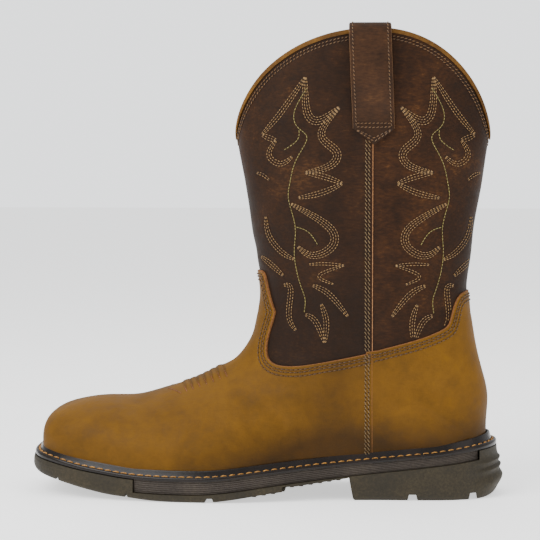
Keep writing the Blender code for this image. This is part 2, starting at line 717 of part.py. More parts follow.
def make_strap(name, side, skin, material, collection):
    """A standing pull loop: stitched flat outside by its point, bowed off the shaft, and down inside."""
    tree = BVHTree.FromPolygons([tuple(p) for p in skin.points], skin.faces)
    tip = strap_tip_height()
    top = tip + STRAP_DROP - STRAP_THICK / 2
    collar = float(level_height(COLLAR_LEVEL)) - STRAP_RISE

    def wall_out(x, z):
        """How far out the shaft's face is at x and z."""
        hit = tree.ray_cast(Vector((x, side * BALL_WIDTH, min(z, collar))), Vector((0, -side, 0)))
        return side * hit[0].y

    knots = np.arange(len(STRAP_RUN))
    run = smooth(knots, STRAP_RUN, np.linspace(0, knots[-1], STRAP_STEPS))
    height = tip + (top - tip) * run[:, 0]
    out = run[:, 1] * STRAP_BOW
    seated = STRAP_SEAT + STRAP_THICK / 2
    through = UPPER_WALL + 2 * STRAP_SEAT + STRAP_THICK
    inside = np.clip((-run[:, 1]) / 0.10, 0, 1)
    out = seated + out - inside * through
    across = np.linspace(-1, 1, STRAP_COLUMNS)
    points = []
    for k in range(-1, len(height)):
        row = []
        for a in across:
            z, o = (tip + abs(a) * STRAP_POINT, seated) if k < 0 else (height[k], out[k])
            lean = STRAP_LEAN * (0.5 - (z - tip) / STRAP_DROP)
            row.append((STRAP_X + lean + a * STRAP_WIDTH / 2, o, z))
        points.append(row)
    path = np.array(points)
    outer, inner = [], []
    for k in range(len(path)):
        before, after = path[max(k - 1, 0)], path[min(k + 1, len(path) - 1)]
        for c in range(STRAP_COLUMNS):
            run_out, run_up = after[c, 1] - before[c, 1], after[c, 2] - before[c, 2]
            length = math.hypot(run_out, run_up)
            normal = (run_up / length, -run_out / length)
            x, o, z = path[k, c]
            base = wall_out(x, z)
            for target, shift in ((outer, STRAP_THICK / 2), (inner, -STRAP_THICK / 2)):
                target.append((x, side * (base + o + normal[0] * shift), z + normal[1] * shift))
    rows = len(path)
    count = rows * STRAP_COLUMNS
    faces = []
    for k in range(rows - 1):
        for c in range(STRAP_COLUMNS - 1):
            a = k * STRAP_COLUMNS + c
            quad = [a, a + 1, a + 1 + STRAP_COLUMNS, a + STRAP_COLUMNS]
            faces.append(quad)
            faces.append([i + count for i in reversed(quad)])
    edge = list(range(STRAP_COLUMNS))
    edge += [k * STRAP_COLUMNS + STRAP_COLUMNS - 1 for k in range(1, rows)]
    edge += [(rows - 1) * STRAP_COLUMNS + c for c in range(STRAP_COLUMNS - 2, -1, -1)]
    edge += [k * STRAP_COLUMNS for k in range(rows - 2, 0, -1)]
    for a, b in zip(edge, edge[1:] + edge[:1]):
        faces.append([a, b, b + count, a + count])
    return add_solid(name, outer + inner, faces, material, collection)


def welt_inset(share):
    """Inset of a share of the welt's shelf."""
    return share * WELT_SHELF


def make_welt(rows, skin, material, collection, cutters):
    """The storm welt: lip, stitch groove and the rim that fits round the overlays."""
    section = [(welt_inset(inset), height) for inset, height in WELT_SECTION]
    points, faces = band_mesh(section, rows)
    welt = add_solid("welt", points, faces, material, collection)
    outer, inner = skin.shifted(OVERLAY + GAP), skin.shifted(-UPPER_WALL)
    for form in (outer, inner):
        form[skin.seated, 2] -= WELT_HEIGHT / 3
    points, faces = skin.wall(outer, inner)
    combine(welt, add_solid("foot_form", points, faces, None, cutters), "DIFFERENCE")
    return welt


def sole_x(along):
    """World x of a share of the sole's length from the toe."""
    return along * SOLE_LENGTH - HEEL_FROM_TOE


def band_profile(bottom, start, end):
    """Side outline of the midsole's visible band, above the line that bottom gives."""
    stations = np.linspace(start, end, 13)
    top = STACK_BALL + TOE_SPRING + HEEL_RISE + WELT_HEIGHT + WELT_FLARE
    return [(float(x), float(bottom(x))) for x in stations] + [(end, top), (start, top)]


def make_midsole(rows, material, collection, cutters):
    """The midsole: a full core under the upper, and a band that shows along the sides."""
    points, faces = stack_mesh(((BUMPER_WALL, seat), (BUMPER_WALL, midsole_bottom)), rows)
    midsole = add_solid("midsole", points, faces, material, collection)
    points, faces = stack_mesh(((MIDSOLE_INSET, seat), (MIDSOLE_INSET, midsole_bottom)), rows)
    band = add_solid("midsole_band_form", points, faces, material, cutters)
    start, end = sole_x(BAND_FROM), sole_x(BAND_TO)
    box = prism("midsole_band_limits", [(start, -STACK_BALL), (end, -STACK_BALL), (end, STACK_BALL * 5),
                (start, STACK_BALL * 5)], -BALL_WIDTH, BALL_WIDTH, cutters)
    combine(band, box, "INTERSECT")
    combine(midsole, band, "UNION")
    return midsole


def make_outsole(rows, material, collection, cutters):
    """The rubber unit: forepart, arch and heel in one, its wall rising round toe and heel to the welt."""
    def bottom(x):
        return rise(UNDERSIDE, x)

    rings = []
    for height, side, heel in WALL_RINGS:
        def inset(x, side=side, heel=heel):
            along = (x + HEEL_FROM_TOE) / SOLE_LENGTH
            ribbed = np.clip((along - RIBS_FROM) / (RIBS_FULL - RIBS_FROM), 0, 1)
            return -(side * TOE_LIP * (1 - ribbed) + heel * HEEL_LIP * ribbed)

        def level(x, height=height):
            return bottom(x) + (seat(x) - GAP - bottom(x)) * height

        rings.append((inset, level))
    points, faces = stack_mesh(rings, rows)
    outsole = add_solid("outsole", points, faces, material, collection)

    def core_bottom(x):
        return midsole_bottom(x) - GAP

    core_top = STACK_BALL + TOE_SPRING + HEEL_RISE
    points, faces = stack_mesh(((BUMPER_WALL - GAP, core_top), (BUMPER_WALL - GAP, core_bottom)), rows)
    combine(outsole, add_solid("midsole_core_form", points, faces, None, cutters), "DIFFERENCE")
    band = band_profile(core_bottom, sole_x(BAND_FROM) - GAP, sole_x(BAND_TO) + GAP)
    combine(outsole, prism("midsole_band_cut", band, -BALL_WIDTH, BALL_WIDTH, cutters), "DIFFERENCE")
    arch = [(sole_x(along), height * HEEL_RISE) for along, height in ARCH]
    combine(outsole, prism("arch_cut", arch, -BALL_WIDTH, BALL_WIDTH, cutters), "DIFFERENCE")
    for k, (along, width, depth) in enumerate(NOTCHES):
        cut_groove("notch_cut_%d" % k, outsole, along, width * SOLE_LENGTH, depth, (-BALL_WIDTH, BALL_WIDTH), cutters)
    fine = np.linspace(0, CLOSED_ROW, 10 * CLOSED_ROW + 1)
    loop = outline_loop(fine, LUG_RIM)
    lateral, medial = loop[: len(fine)], loop[: len(fine) - 2 : -1]
    taken = [along for along, width, depth in NOTCHES]
    first, last, pitch = TREAD_FROM, TREAD_TO, LUG_PITCH / SOLE_LENGTH
    count = 0
    for start, end in ((first, ARCH[1][0]), (ARCH[-2][0] + pitch, last)):
        for along in np.arange(start, end, pitch):
            if min(abs(along - other) for other in taken) < 0.75 * pitch:
                continue
            x = sole_x(along)
            near = float(np.interp(x, lateral[:, 0], lateral[:, 1]))
            far = float(np.interp(x, medial[:, 0], medial[:, 1]))
            cut_groove("tread_cut_%d" % count, outsole, along, LUG_GROOVE, 1, (near, far), cutters)
            count += 1
    return outsole


def cut_groove(name, outsole, along, width, depth, reach, cutters):
    """A groove across the tread, square to the underside where it is."""
    x = sole_x(along)
    low, high = (float(rise(UNDERSIDE, x + s * width / 2)) for s in (-1, 1))
    deep = depth * LUG_DEPTH
    profile = [(x - width / 2, low - LUG_DEPTH), (x + width / 2, high - LUG_DEPTH),
               (x + width / 2, high + deep), (x - width / 2, low + deep)]
    combine(outsole, prism(name, profile, reach[0], reach[1], cutters), "DIFFERENCE")


def make_insole(rows, material, collection):
    """The footbed on the midsole's top, clear of the upper's wall."""
    inset = FEATHER_INSET + UPPER_WALL + INSOLE_CLEAR

    def top(x):
        return seat(x) + GAP + INSOLE_THICK

    def under(x):
        return seat(x) + GAP

    points, faces = stack_mesh(((inset, top), (inset, under)), rows)
    return add_solid("insole", points, faces, material, collection)


def main():
    """Clear the scene and build the boot."""
    for old in list(bpy.data.objects):
        bpy.data.objects.remove(old)
    scene = bpy.context.scene.collection
    boot = bpy.data.collections.new("western_work_boot")
    cutters = bpy.data.collections.new("cutters")
    scene.children.link(boot)
    scene.children.link(cutters)
    shaft_leather = finish("dark_oiled_leather", (0.055, 0.028, 0.014), 0.55)
    foot_leather = finish("tan_oiled_leather", (0.26, 0.13, 0.035), 0.6)
    edge_leather = finish("binding_leather", (0.30, 0.15, 0.05), 0.6)
    welt_rubber = finish("dark_welt", (0.03, 0.018, 0.012), 0.35)
    band_rubber = finish("grey_brown_midsole", (0.09, 0.07, 0.05), 0.7)
    sole_rubber = finish("olive_brown_rubber", (0.06, 0.048, 0.03), 0.75)
    footbed = finish("footbed_leather", (0.25, 0.17, 0.10), 0.8)

    grid, closed = upper_surface(FOOT_ROWS, RING_ROWS, COLLAR_ROWS, BACK_COLUMNS, FRONT_COLUMNS)
    skin = Skin(grid, closed)
    make_upper(skin, shaft_leather, boot)
    make_overlay("vamp", skin, VAMP_THICK, vamp_profile(), foot_leather, boot, cutters)
    make_overlay("counter", skin, COUNTER_THICK, counter_profile(), foot_leather, boot, cutters)
    make_binding(skin, edge_leather, boot)
    make_strap("pull_strap_lateral", -1, skin, shaft_leather, boot)
    make_strap("pull_strap_medial", 1, skin, shaft_leather, boot)
    rows = np.linspace(0, CLOSED_ROW, SOLE_ROWS)
    make_welt(rows, skin, welt_rubber, boot, cutters)
    make_midsole(rows, band_rubber, boot, cutters)
    make_outsole(rows, sole_rubber, boot, cutters)
    make_insole(rows[::INSOLE_ROWS_EACH], footbed, boot)


main()
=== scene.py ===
"""Looks for a pull-on western work boot, left foot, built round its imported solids.

Every piece stands in the boot's own frame, in metres: the toe points along -X, the outer side faces -Y, and
the middle of the heel's flat stands on the origin. The form is drawn from the same sizes and tables as the
solids, only finer, and each leather panel, rim and row of stitches is laid on it.
"""

import functools
import math

import bmesh
import bpy
import numpy as np
from bpy.props import FloatProperty, FloatVectorProperty, IntProperty, PointerProperty
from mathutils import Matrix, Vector
from mathutils.bvhtree import BVHTree
from mathutils.kdtree import KDTree


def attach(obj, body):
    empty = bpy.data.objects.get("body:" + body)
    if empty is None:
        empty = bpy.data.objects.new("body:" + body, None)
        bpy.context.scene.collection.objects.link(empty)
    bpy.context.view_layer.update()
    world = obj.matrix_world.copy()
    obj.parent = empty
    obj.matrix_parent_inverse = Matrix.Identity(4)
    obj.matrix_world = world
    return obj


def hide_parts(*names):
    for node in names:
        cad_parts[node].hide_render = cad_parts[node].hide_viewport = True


bl_info = {
    "name": "Western Work Boot",
    "version": (1, 0, 0),
    "blender": (4, 5, 0),
    "location": "View3D > Sidebar > Western Boot",
    "description": "Leather, rubber and stitching of a pull-on western work boot",
    "category": "Add Mesh",
}

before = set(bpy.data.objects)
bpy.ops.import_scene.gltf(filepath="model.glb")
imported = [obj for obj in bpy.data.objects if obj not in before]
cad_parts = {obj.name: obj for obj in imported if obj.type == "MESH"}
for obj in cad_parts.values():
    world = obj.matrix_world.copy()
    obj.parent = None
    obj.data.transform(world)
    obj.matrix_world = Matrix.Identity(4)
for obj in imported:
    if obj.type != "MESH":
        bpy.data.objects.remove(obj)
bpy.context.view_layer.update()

MM = 0.001

# Sizes of the boot
SOLE_LENGTH = 0.3144
BALL_WIDTH = 0.113
HEEL_ALONG = 0.7888
TOE_LIP = 0.0013
HEEL_LIP = 0.0045
WELT_SHELF = 0.006
WELT_HEIGHT = 0.0063
WELT_FLARE = 0.0026
OUTSOLE_BALL = 0.0051
MIDSOLE_BALL = 0.0082
MIDSOLE_HEEL = 0.006
HEEL_RISE = 0.02
TOE_SPRING = 0.0123
INSTEP_RISE = 0.1067
SHAFT_RISE = 0.1852
COLLAR_DIP = 0.069
SHAFT_WIDTH = 0.076
UPPER_WALL = 0.0022
VAMP_THICK = 0.0015
COUNTER_THICK = 0.0011
LAP_STEP = 0.0008
GAP = 0.0003
SEAM_ALONG = 0.7252
BINDING_THICK = 0.0007
BINDING_DEPTH = 0.0026
STRAP_WIDTH = 0.0265
STRAP_THICK = 0.0024
STRAP_RISE = 0.0044
STRAP_SEAT = 0.0006
STRAP_BOW = 0.0068
STRAP_DROP = 0.0786
STRAP_POINT = 0.0105
STRAP_ALONG = 0.7242
STRAP_LEAN = 0.003
INSOLE_THICK = 0.004
INSOLE_CLEAR = 0.0012
MIDSOLE_INSET = 0.0012
BUMPER_WALL = 0.0043
LUG_DEPTH = 0.003
LUG_PITCH = 0.0115
LUG_GROOVE = 0.0028
LUG_RIM = 0.012

# How finely the looks are drawn
GRID = 1.35 * MM
COLLAR_STEPS = 38
BACK_FINE = 46
FRONT_FINE = 74
LINING_COARSER = 2.4
SOLE_STEP = 0.06
WALL_FINE = 34
WELT_FINE = 30
STRAP_FINE = 110
STRAP_ACROSS = 29
STRAP_POINT_ROWS = 14

# Leather, edges and seams
SEAM_LAP = 3.5 * MM
UNDER_LAP = 6 * MM
LAP_FADE = 13 * MM
EDGE_ROWS = (1.9 * MM, 3.6 * MM, 6.0 * MM)
EDGE_PITCH = 3.3 * MM
SEAM_ROWS = (2.1 * MM, 4.1 * MM)
SEAM_PITCH = 2.7 * MM
SEAM_CLEAR = 0.8 * MM
SEAM_BELOW = 1 * MM
# From the front panel's edge forward to between its two rows.
SEAM_MIDDLE = 3 * MM
SEAM_SLANT = 0.5
COLLAR_ROWS_DOWN = (3.6 * MM, 5.5 * MM)
COLLAR_PITCH = 2.6 * MM
STRAP_PITCH = 2.5 * MM
STRAP_ROW_INSET = 2.0 * MM
SCROLL_PITCH = 2.1 * MM
STEM_PITCH = 2.1 * MM
SCROLL_ROW_GAP = 1.65 * MM
ROWS_MEET = 0.2
SCROLL_BACK_SHIFT = -1.5 * MM
SCROLL_BACK_WIDTH = 0.94
SCROLL_CLEAR = 1.5 * MM
SCROLL_SEAM_CLEAR = 5 * MM
# A stitch's rings: place along its half length, thickness and height, both in radii of the thread.
THREAD_SECTION = ((-1.0, 0.45, -0.75), (-0.72, 0.9, 0.25), (0.0, 1.0, 0.62), (0.72, 0.9, 0.25), (1.0, 0.45, -0.75))
THREAD_SIDES = 6
HOLE_SIDES = 7
CURVE_FINE = 60
# A panel's edge: its share of the thickness, how far it rounds, and how far the cut runs under the panel.
EDGE_SHARE = 0.82
EDGE_ROUND = 1.5 * MM
EDGE_UNDER = 0.3 * MM
# A cut edge's section: out from the border, and its height as a share of the thickness.
RAW_SECTION = ((0.0, 1.0), (0.28 * MM, 0.93), (0.42 * MM, 0.6))
RAW_FOOT = 0.5 * MM
STITCH_SINK = 0.28 * MM
STITCH_SINK_WIDTH = 1.1 * MM
HOLE_LIFT = 0.06 * MM
EDGE_HOLE = 0.46 * MM
FOOT_SEAM_HOLE = 0.4 * MM
SHAFT_HOLE = 0.42 * MM
SCROLL_HOLE = 0.3 * MM
WELT_HOLE = 0.75 * MM
BINDING_SHOWN = 1.7 * MM
BINDING_CROWN = 0.4
BINDING_ROUND = (0.15 * MM, 0.3 * MM)
BINDING_TURNS = 11
STRAP_EDGE_BULGE = 0.25 * MM
STRAP_EDGE_THIN = 0.3

# Bug and wrinkle behind the toe: places from the toe's end, and reach down from the ridge
PLEAT_FROM = 99 * MM
PLEAT_TO = 126 * MM
PLEAT_COUNT = 6
PLEAT_REACH = 21 * MM
PLEAT_LEAN = 0.27
PLEAT_HEIGHT = 2.1 * MM
PLEAT_SUNK = 0.55
PLEAT_FADE = 0.45
PLEAT_ENDS = 0.4
PLEAT_ROUND = 0.8
PLEAT_GRID = 0.45
# How dark the painted shade in the pleats' valleys is.
PLEAT_SHADE = 1.9
PLEAT_PITCH = 1.7 * MM
# Places of the stitches under a pleat: sideways in pitches, down in shares of the reach.
PLEAT_ZIGZAG = ((-0.3, 0.6), (0.0, 0.8), (0.3, 1.0))
BUG_START = 9 * MM
BUG_WIDE = 11 * MM
RIDGE_RADIUS = 30 * MM
RIDGE_ROWS = (3, 14, 0.1)

# Welt and sole
GROOVE_SHARE = 0.42
GROOVE_LEVEL = 0.36
GROOVE_TILT = 0.35
GROOVE_STEP = 0.02
WELT_SLANT = 0.14
LINE_DEEP = 0.35 * MM
ARCH_STEPS_FROM = 0.485
ARCH_STEPS_TO = 0.665
ARCH_STEP_PITCH = 6 * MM
ARCH_STEP_DEEP = 0.8 * MM
ARCH_STEP_HALF = 0.29
ARCH_STEP_IN = 0.6 * MM
# How narrow grooves and arch steps are at their far side.
TAPER = 0.7

# The footbed's section: in from its edge, and its height as a share of its thickness.
FOOTBED_SECTION = ((0, 0.0), (0, 0.6), (0.4 * MM, 0.85), (1.2 * MM, 1.0), (6 * MM, 0.9), (12 * MM, 0.84))

FOOTBED_STEP = 0.1

# Stitch pieces: the thread's share of its pitch, its radius against the property's, and its slant.
STITCHES = {
    "overlay_stitches": (0.6, 1.15, 0.0),
    "foot_seam_stitches": (0.9, 0.95, SEAM_SLANT),
    "pleat_stitches": (0.75, 0.9, 0.0),
    "welt_stitches": (0.84, 1.0, WELT_SLANT),
    "scroll_stitches": (0.7, 1.0, 0.0),
    "stem_stitches": (0.86, 1.15, 0.0),
    "side_seam_stitches": (0.9, 0.95, SEAM_SLANT),
    "collar_stitches": (0.74, 0.9, 0.25),
    "strap_stitches": (0.74, 0.9, 0.25),
}

# Painted shade, where the leather's colour is darkened to stand in for shade: how dark, from where, and over what
# width
SHADE_PANEL = 0.5
SHADE_PANEL_EDGE = 2 * MM
SHADE_LOW = 0.35
SHADE_LOW_UNDER = 0.42
SHADE_SEAM_DARK = 0.6
SHADE_QUARTER_DARK = 0.55
SHADE_BACK_FROM = 35 * MM
SHADE_FADE = 30 * MM
SHADE_SEAM = 4 * MM
SHADE_STRAP = 25 * MM
SHADE_WELT = 36 * MM
SHADE_TOE_X = -160 * MM
SHADE_TOE_FADE = 80 * MM
SHADE_QUARTER = 25 * MM
SHADE_QUARTER_WIDE = 38 * MM

# The brushed nap's streaks: their turn in the side view, and their stretch along it
NAP_LEAN = 0.5
NAP_STRETCH = 0.3

# Stage. Each softbox has its power's property, its size and its place.
SOFTBOXES = (
    ("key_softbox", "key_power", 0.9, (-0.75, -0.75, 0.95)),
    ("fill_softbox", "fill_power", 1.0, (0.9, -0.8, 0.6)),
    ("top_softbox", "top_power", 1.3, (-0.1, 0.25, 1.25)),
)
FLOOR_SIZE = 6.0
WORLD_STRENGTH = 1.0
BACKDROP_STRENGTH = 2.1
PAPER_GLOW = 0.9
CAMERA_PLACE = Vector((0.0125, -1.296, 0.230))
CAMERA_AIM = Vector((-0.0893, 0.0, 0.1476))
CAMERA_LENS = 129.8
BOOT_MIDDLE = Vector((-0.09, 0.0, 0.12))

# A crease's bend and faded ends in shares of its length, and its ridges' size, place and width in its own
CREASE_BEND = 0.12
CREASE_FADE = 0.3
CREASE_SIDE = 12 * MM
CREASE_RIDGE = 0.55
CREASE_RIDGE_AT = 1.9
CREASE_RIDGE_WIDE = 0.8

# Soft creases: start x, start z, end x, end z (from the toe and the ground), side (0 both), depth, width.
CREASES = (
    (0.150, 0.062, 0.176, 0.046, 0, 0.55 * MM, 5.0 * MM),
    (0.166, 0.078, 0.196, 0.058, 0, 0.60 * MM, 5.5 * MM),
    (0.172, 0.098, 0.205, 0.084, 0, 0.50 * MM, 5.0 * MM),
    (0.262, 0.128, 0.290, 0.112, 0, 0.45 * MM, 6.0 * MM),
    (0.240, 0.075, 0.285, 0.062, 0, 0.40 * MM, 7.0 * MM),
    (0.150, 0.150, 0.185, 0.175, 0, 0.50 * MM, 8.0 * MM),
    (0.255, 0.235, 0.285, 0.180, 0, 0.55 * MM, 9.0 * MM),
)

# The hand's unevenness: waves along x, y and z (radians per metre), phase, size.
UNEVEN = (
    (95.0, 40.0, 70.0, 0.6, 0.22 * MM),
    (160.0, 90.0, 130.0, 2.1, 0.14 * MM),
    (45.0, 30.0, 38.0, 4.0, 0.30 * MM),
)

# Scroll stitching, placed after the photographed front panel and mirrored on the back one: name, thread rows,
# places (x from the pull strap, z from the ground, in millimetres).
SCROLLS = (
    ("flame_right", 4, ((-43.3, 274.9), (-42.2, 252.7), (-34, 246.8), (-21.1, 255.3))),
    ("flame_right_arc", 4, ((-21.1, 255.3), (-32.8, 237.7), (-23.5, 227.3), (-27, 217.8), (-43.4, 213.1))),
    ("tongue_right", 3, ((-43.4, 213.1), (-31, 210.5), (-18.9, 206.2))),
    ("tongue_right_low", 3, ((-18.9, 206.2), (-33, 200), (-48.1, 196.8))),
    ("flame_left", 3, ((-43.3, 274.9), (-58.8, 252.8), (-72.1, 237.8))),
    ("flame_left_barb", 3, ((-72.1, 237.8), (-67, 235.5), (-62.5, 234.1))),
    ("flame_left_hook", 3, ((-62.5, 234.1), (-67.3, 224.6), (-60.1, 218.9), (-51.8, 223.6))),
    ("flame_left_low", 2, ((-76.1, 212.9), (-71.5, 211.4), (-67.4, 208.2))),
    ("stem", 1, ((-42.2, 267.8), (-50.4, 252.8), (-48.1, 242.3), (-42.2, 235.2), (-49.3, 221.4),
                 (-53.5, 206.3), (-54.2, 194.5), (-50, 177.8), (-50.7, 160.4), (-47.2, 141.4),
                 (-43.7, 131), (-44.3, 121.7))),
    ("stem_hook", 1, ((-47.5, 241), (-48.7, 234.1), (-57.6, 227.7))),
    ("stem_leaf", 1, ((-49.4, 177.8), (-41.1, 174.4), (-35.2, 166.3))),
    ("loop", 4, ((-53, 193), (-34, 182.6), (-24.6, 173.4), (-27, 164.1), (-38.7, 159.4), (-48.3, 165.1))),
    ("leaf_left", 3, ((-70.1, 184.3), (-67.7, 171.4), (-59.2, 161.1), (-50.7, 156.6))),
    ("flame_mid", 2, ((-41.2, 153.4), (-30, 154), (-17.7, 153.1))),
    ("flame_mid_low", 2, ((-17.7, 153.1), (-34.1, 146.3), (-24.7, 140.7))),
    ("flame_low", 3, ((-38.8, 139.8), (-27.6, 134), (-15.4, 119.8))),
    ("base_left", 3, ((-58.2, 139.2), (-53.3, 136.5), (-54.6, 119.9), (-49.8, 109.6))),
    ("base_right", 3, ((-43.7, 120.4), (-36.6, 115.8), (-30.7, 102))),
    ("base_right_rise", 3, ((-30.7, 102), (-29.6, 116.2), (-33, 127.7))),
    ("leaf_small", 3, ((-73.8, 157.4), (-66.6, 152.5), (-58.3, 145.6))),
)

STACK_BALL = OUTSOLE_BALL + MIDSOLE_BALL
OVERLAY = VAMP_THICK + GAP
FEATHER_INSET = WELT_SHELF + OVERLAY
HEEL_FROM_TOE = HEEL_ALONG * SOLE_LENGTH
SEAM_X = (SEAM_ALONG - HEEL_ALONG) * SOLE_LENGTH
STRAP_X = (STRAP_ALONG - HEEL_ALONG) * SOLE_LENGTH
WELT_LENGTH = SOLE_LENGTH - TOE_LIP - HEEL_LIP

# The welt's outer edge seen from above, from the toe to the heel's back.
# Columns: along (share of the welt's length), lateral and medial (shares of half the ball's width).
OUTLINE = (
    (0.0000, -0.088, 0.088),
    (0.0015, 0.177, 0.354),
    (0.0070, 0.363, 0.522),
    (0.0200, 0.513, 0.646),
    (0.0450, 0.637, 0.743),
    (0.0900, 0.761, 0.832),
    (0.1500, 0.858, 0.903),
    (0.2200, 0.931, 0.956),
    (0.3000, 0.984, 0.973),
    (0.3800, 1.009, 0.924),
    (0.4600, 0.973, 0.832),
    (0.5500, 0.867, 0.708),
    (0.6400, 0.754, 0.634),
    (0.7300, 0.690, 0.625),
    (0.8200, 0.669, 0.648),
    (0.8900, 0.637, 0.625),
    (0.9400, 0.549, 0.543),
    (0.9750, 0.389, 0.389),
    (0.9950, 0.177, 0.177),
    (1.0000, 0.000, 0.000),
)
HEEL_ROW = 14
CLOSED_ROW = len(OUTLINE) - 1

# The upper's sections. Each foot row starts on the same row of the outline and each later row on the back.
# Columns: row, top_x (share of the sole's length from the toe), top_level (0 at the ball's seat, 1 at the
# instep, 2 at the collar's peak), back_x (share of the length behind the seat's end), back_level (as
# top_level, from the closed row on), lateral and medial (bulge, shares of the ball's width), shaft (0 foot,
# 1 shaft), widest (share of the way up), crown and base (roundness of the upper and the lower half), ridge
# (share of the ball's width).
SECTIONS = (
    (0, 0.0290, 0.092, 0, 0.190, 0.004, 0.004, 0, 0.35, 2.3, 2.2, 0.044),
    (1, 0.0298, 0.166, 0, 0.190, 0.004, 0.004, 0, 0.35, 2.4, 2.2, 0.044),
    (2, 0.0298, 0.222, 0, 0.190, 0.005, 0.005, 0, 0.35, 2.5, 2.2, 0.044),
    (3, 0.0290, 0.274, 0, 0.190, 0.006, 0.006, 0, 0.34, 2.6, 2.2, 0.046),
    (4, 0.0345, 0.323, 0, 0.190, 0.008, 0.008, 0, 0.33, 2.65, 2.2, 0.048),
    (5, 0.0530, 0.370, 0, 0.190, 0.010, 0.010, 0, 0.32, 2.6, 2.2, 0.050),
    (6, 0.0900, 0.410, 0, 0.190, 0.012, 0.012, 0, 0.31, 2.5, 2.2, 0.052),
    (7, 0.1470, 0.434, 0, 0.190, 0.013, 0.014, 0, 0.30, 2.35, 2.2, 0.054),
    (8, 0.2159, 0.442, 0, 0.190, 0.014, 0.016, 0, 0.28, 2.15, 2.2, 0.054),
    (9, 0.2866, 0.499, 0, 0.190, 0.014, 0.020, 0, 0.27, 1.98, 2.2, 0.052),
    (10, 0.3462, 0.556, 0, 0.190, 0.014, 0.028, 0, 0.27, 1.90, 2.2, 0.046),
    (11, 0.3973, 0.632, 0, 0.190, 0.018, 0.040, 0, 0.28, 1.90, 2.2, 0.038),
    (12, 0.4356, 0.696, 0, 0.190, 0.030, 0.052, 0, 0.31, 1.95, 2.2, 0.028),
    (13, 0.4668, 0.817, 0, 0.190, 0.042, 0.058, 0, 0.34, 2.02, 2.2, 0.018),
    (14, 0.4783, 0.911, 0, 0.190, 0.050, 0.056, 0, 0.37, 2.08, 2.2, 0.010),
    (15, 0.4847, 1.000, 0, 0.190, 0.054, 0.055, 0.02, 0.38, 2.12, 2.25, 0.005),
    (16, 0.4888, 1.052, 0, 0.190, 0.055, 0.055, 0.05, 0.39, 2.15, 2.3, 0.002),
    (17, 0.4882, 1.101, 0, 0.190, 0.055, 0.055, 0.08, 0.40, 2.18, 2.35, 0),
    (18, 0.4837, 1.147, 0, 0.190, 0.055, 0.055, 0.11, 0.40, 2.2, 2.4, 0),
    (19, 0.4786, 1.190, 0, 0.190, 0.055, 0.055, 0.15, 0.41, 2.22, 2.4, 0),
    (20, 0.4751, 1.231, -0.0010, 0.337, 0.055, 0.055, 0.20, 0.42, 2.25, 2.4, 0),
    (21, 0.4707, 1.269, 0.0010, 0.501, 0.055, 0.055, 0.27, 0.43, 2.25, 2.38, 0),
    (22, 0.4668, 1.307, -0.0115, 0.660, 0.055, 0.055, 0.35, 0.44, 2.25, 2.36, 0),
    (23, 0.4636, 1.344, -0.0245, 0.824, 0.055, 0.055, 0.43, 0.45, 2.25, 2.34, 0),
    (24, 0.4608, 1.380, -0.0345, 0.988, 0.055, 0.055, 0.51, 0.46, 2.25, 2.32, 0),
    (25, 0.4579, 1.413, -0.0397, 1.093, 0.055, 0.055, 0.60, 0.47, 2.25, 2.3, 0),
    (26, 0.4547, 1.446, -0.0318, 1.197, 0.055, 0.055, 0.69, 0.48, 2.25, 2.28, 0),
    (27, 0.4519, 1.476, -0.0263, 1.298, 0.055, 0.055, 0.77, 0.49, 2.25, 2.26, 0),
    (28, 0.4486, 1.505, -0.0165, 1.394, 0.055, 0.055, 0.84, 0.50, 2.25, 2.25, 0),
    (29, 0.4454, 1.533, -0.0085, 1.476, 0.055, 0.055, 0.90, 0.50, 2.25, 2.25, 0),
    (30, 0.4422, 1.560, -0.0010, 1.560, 0.055, 0.055, 0.95, 0.50, 2.25, 2.25, 0),
    (32.5, 0.4346, 1.636, 0.0054, 1.636, 0.055, 0.055, 0.98, 0.50, 2.25, 2.25, 0),
    (36, 0.4327, 1.734, 0.0060, 1.734, 0.055, 0.055, 1.00, 0.50, 2.25, 2.25, 0),
    (41, 0.4321, 1.870, 0.0060, 1.870, 0.055, 0.055, 1.02, 0.50, 2.25, 2.25, 0),
    (46, 0.4321, 2.016, 0.0060, 2.016, 0.055, 0.055, 1.04, 0.50, 2.25, 2.25, 0),
)
COLUMNS = ("row", "top_x", "top_level", "back_x", "back_level", "lateral", "medial", "shaft", "widest", "crown",
           "base", "ridge")
SETTLE_ROWS = 5
LEVEL_ROW = 30
TOP_ROW = 46
COLLAR_POWER = 2.1
COLLAR_SOFT = 0.12
COLLAR_PEAK = 0.44
FLARE_FROM = 0.72
TREAD_FROM = 0.105
TREAD_TO = 0.9

# The seat under the upper. Columns: along (share of the sole's length), toe and heel (shares of the toe
# spring and of the heel's rise).
SEAT = (
    (0.000, 1, 0),
    (0.032, 0.85, 0),
    (0.105, 0.5, 0),
    (0.155, 0.315, 0),
    (0.213, 0.12, 0),
    (0.264, 0.03, 0),
    (0.312, 0, 0),
    (0.371, 0, 0),
    (0.440, 0, 0.08),
    (0.520, 0, 0.23),
    (0.654, 0, 0.44),
    (0.798, 0, 0.655),
    (0.887, 0, 0.81),
    (0.950, 0, 0.935),
    (1.000, 0, 1),
)

# The outsole's underside, toe and heel ends, before the arch is cut out. Columns as the seat's.
UNDERSIDE = (
    (0.000, 1.43, 0),
    (0.023, 1.15, 0),
    (0.067, 0.87, 0),
    (0.156, 0.38, 0),
    (0.212, 0.195, 0),
    (0.262, 0.06, 0),
    (0.297, 0.01, 0),
    (0.319, 0, 0),
    (0.446, 0, 0),
    (0.697, 0, 0),
    (0.890, 0, 0),
    (0.944, 0, 0),
    (0.961, 0, 0.02),
    (0.979, 0, 0.08),
    (1.000, 0, 0.2),
)

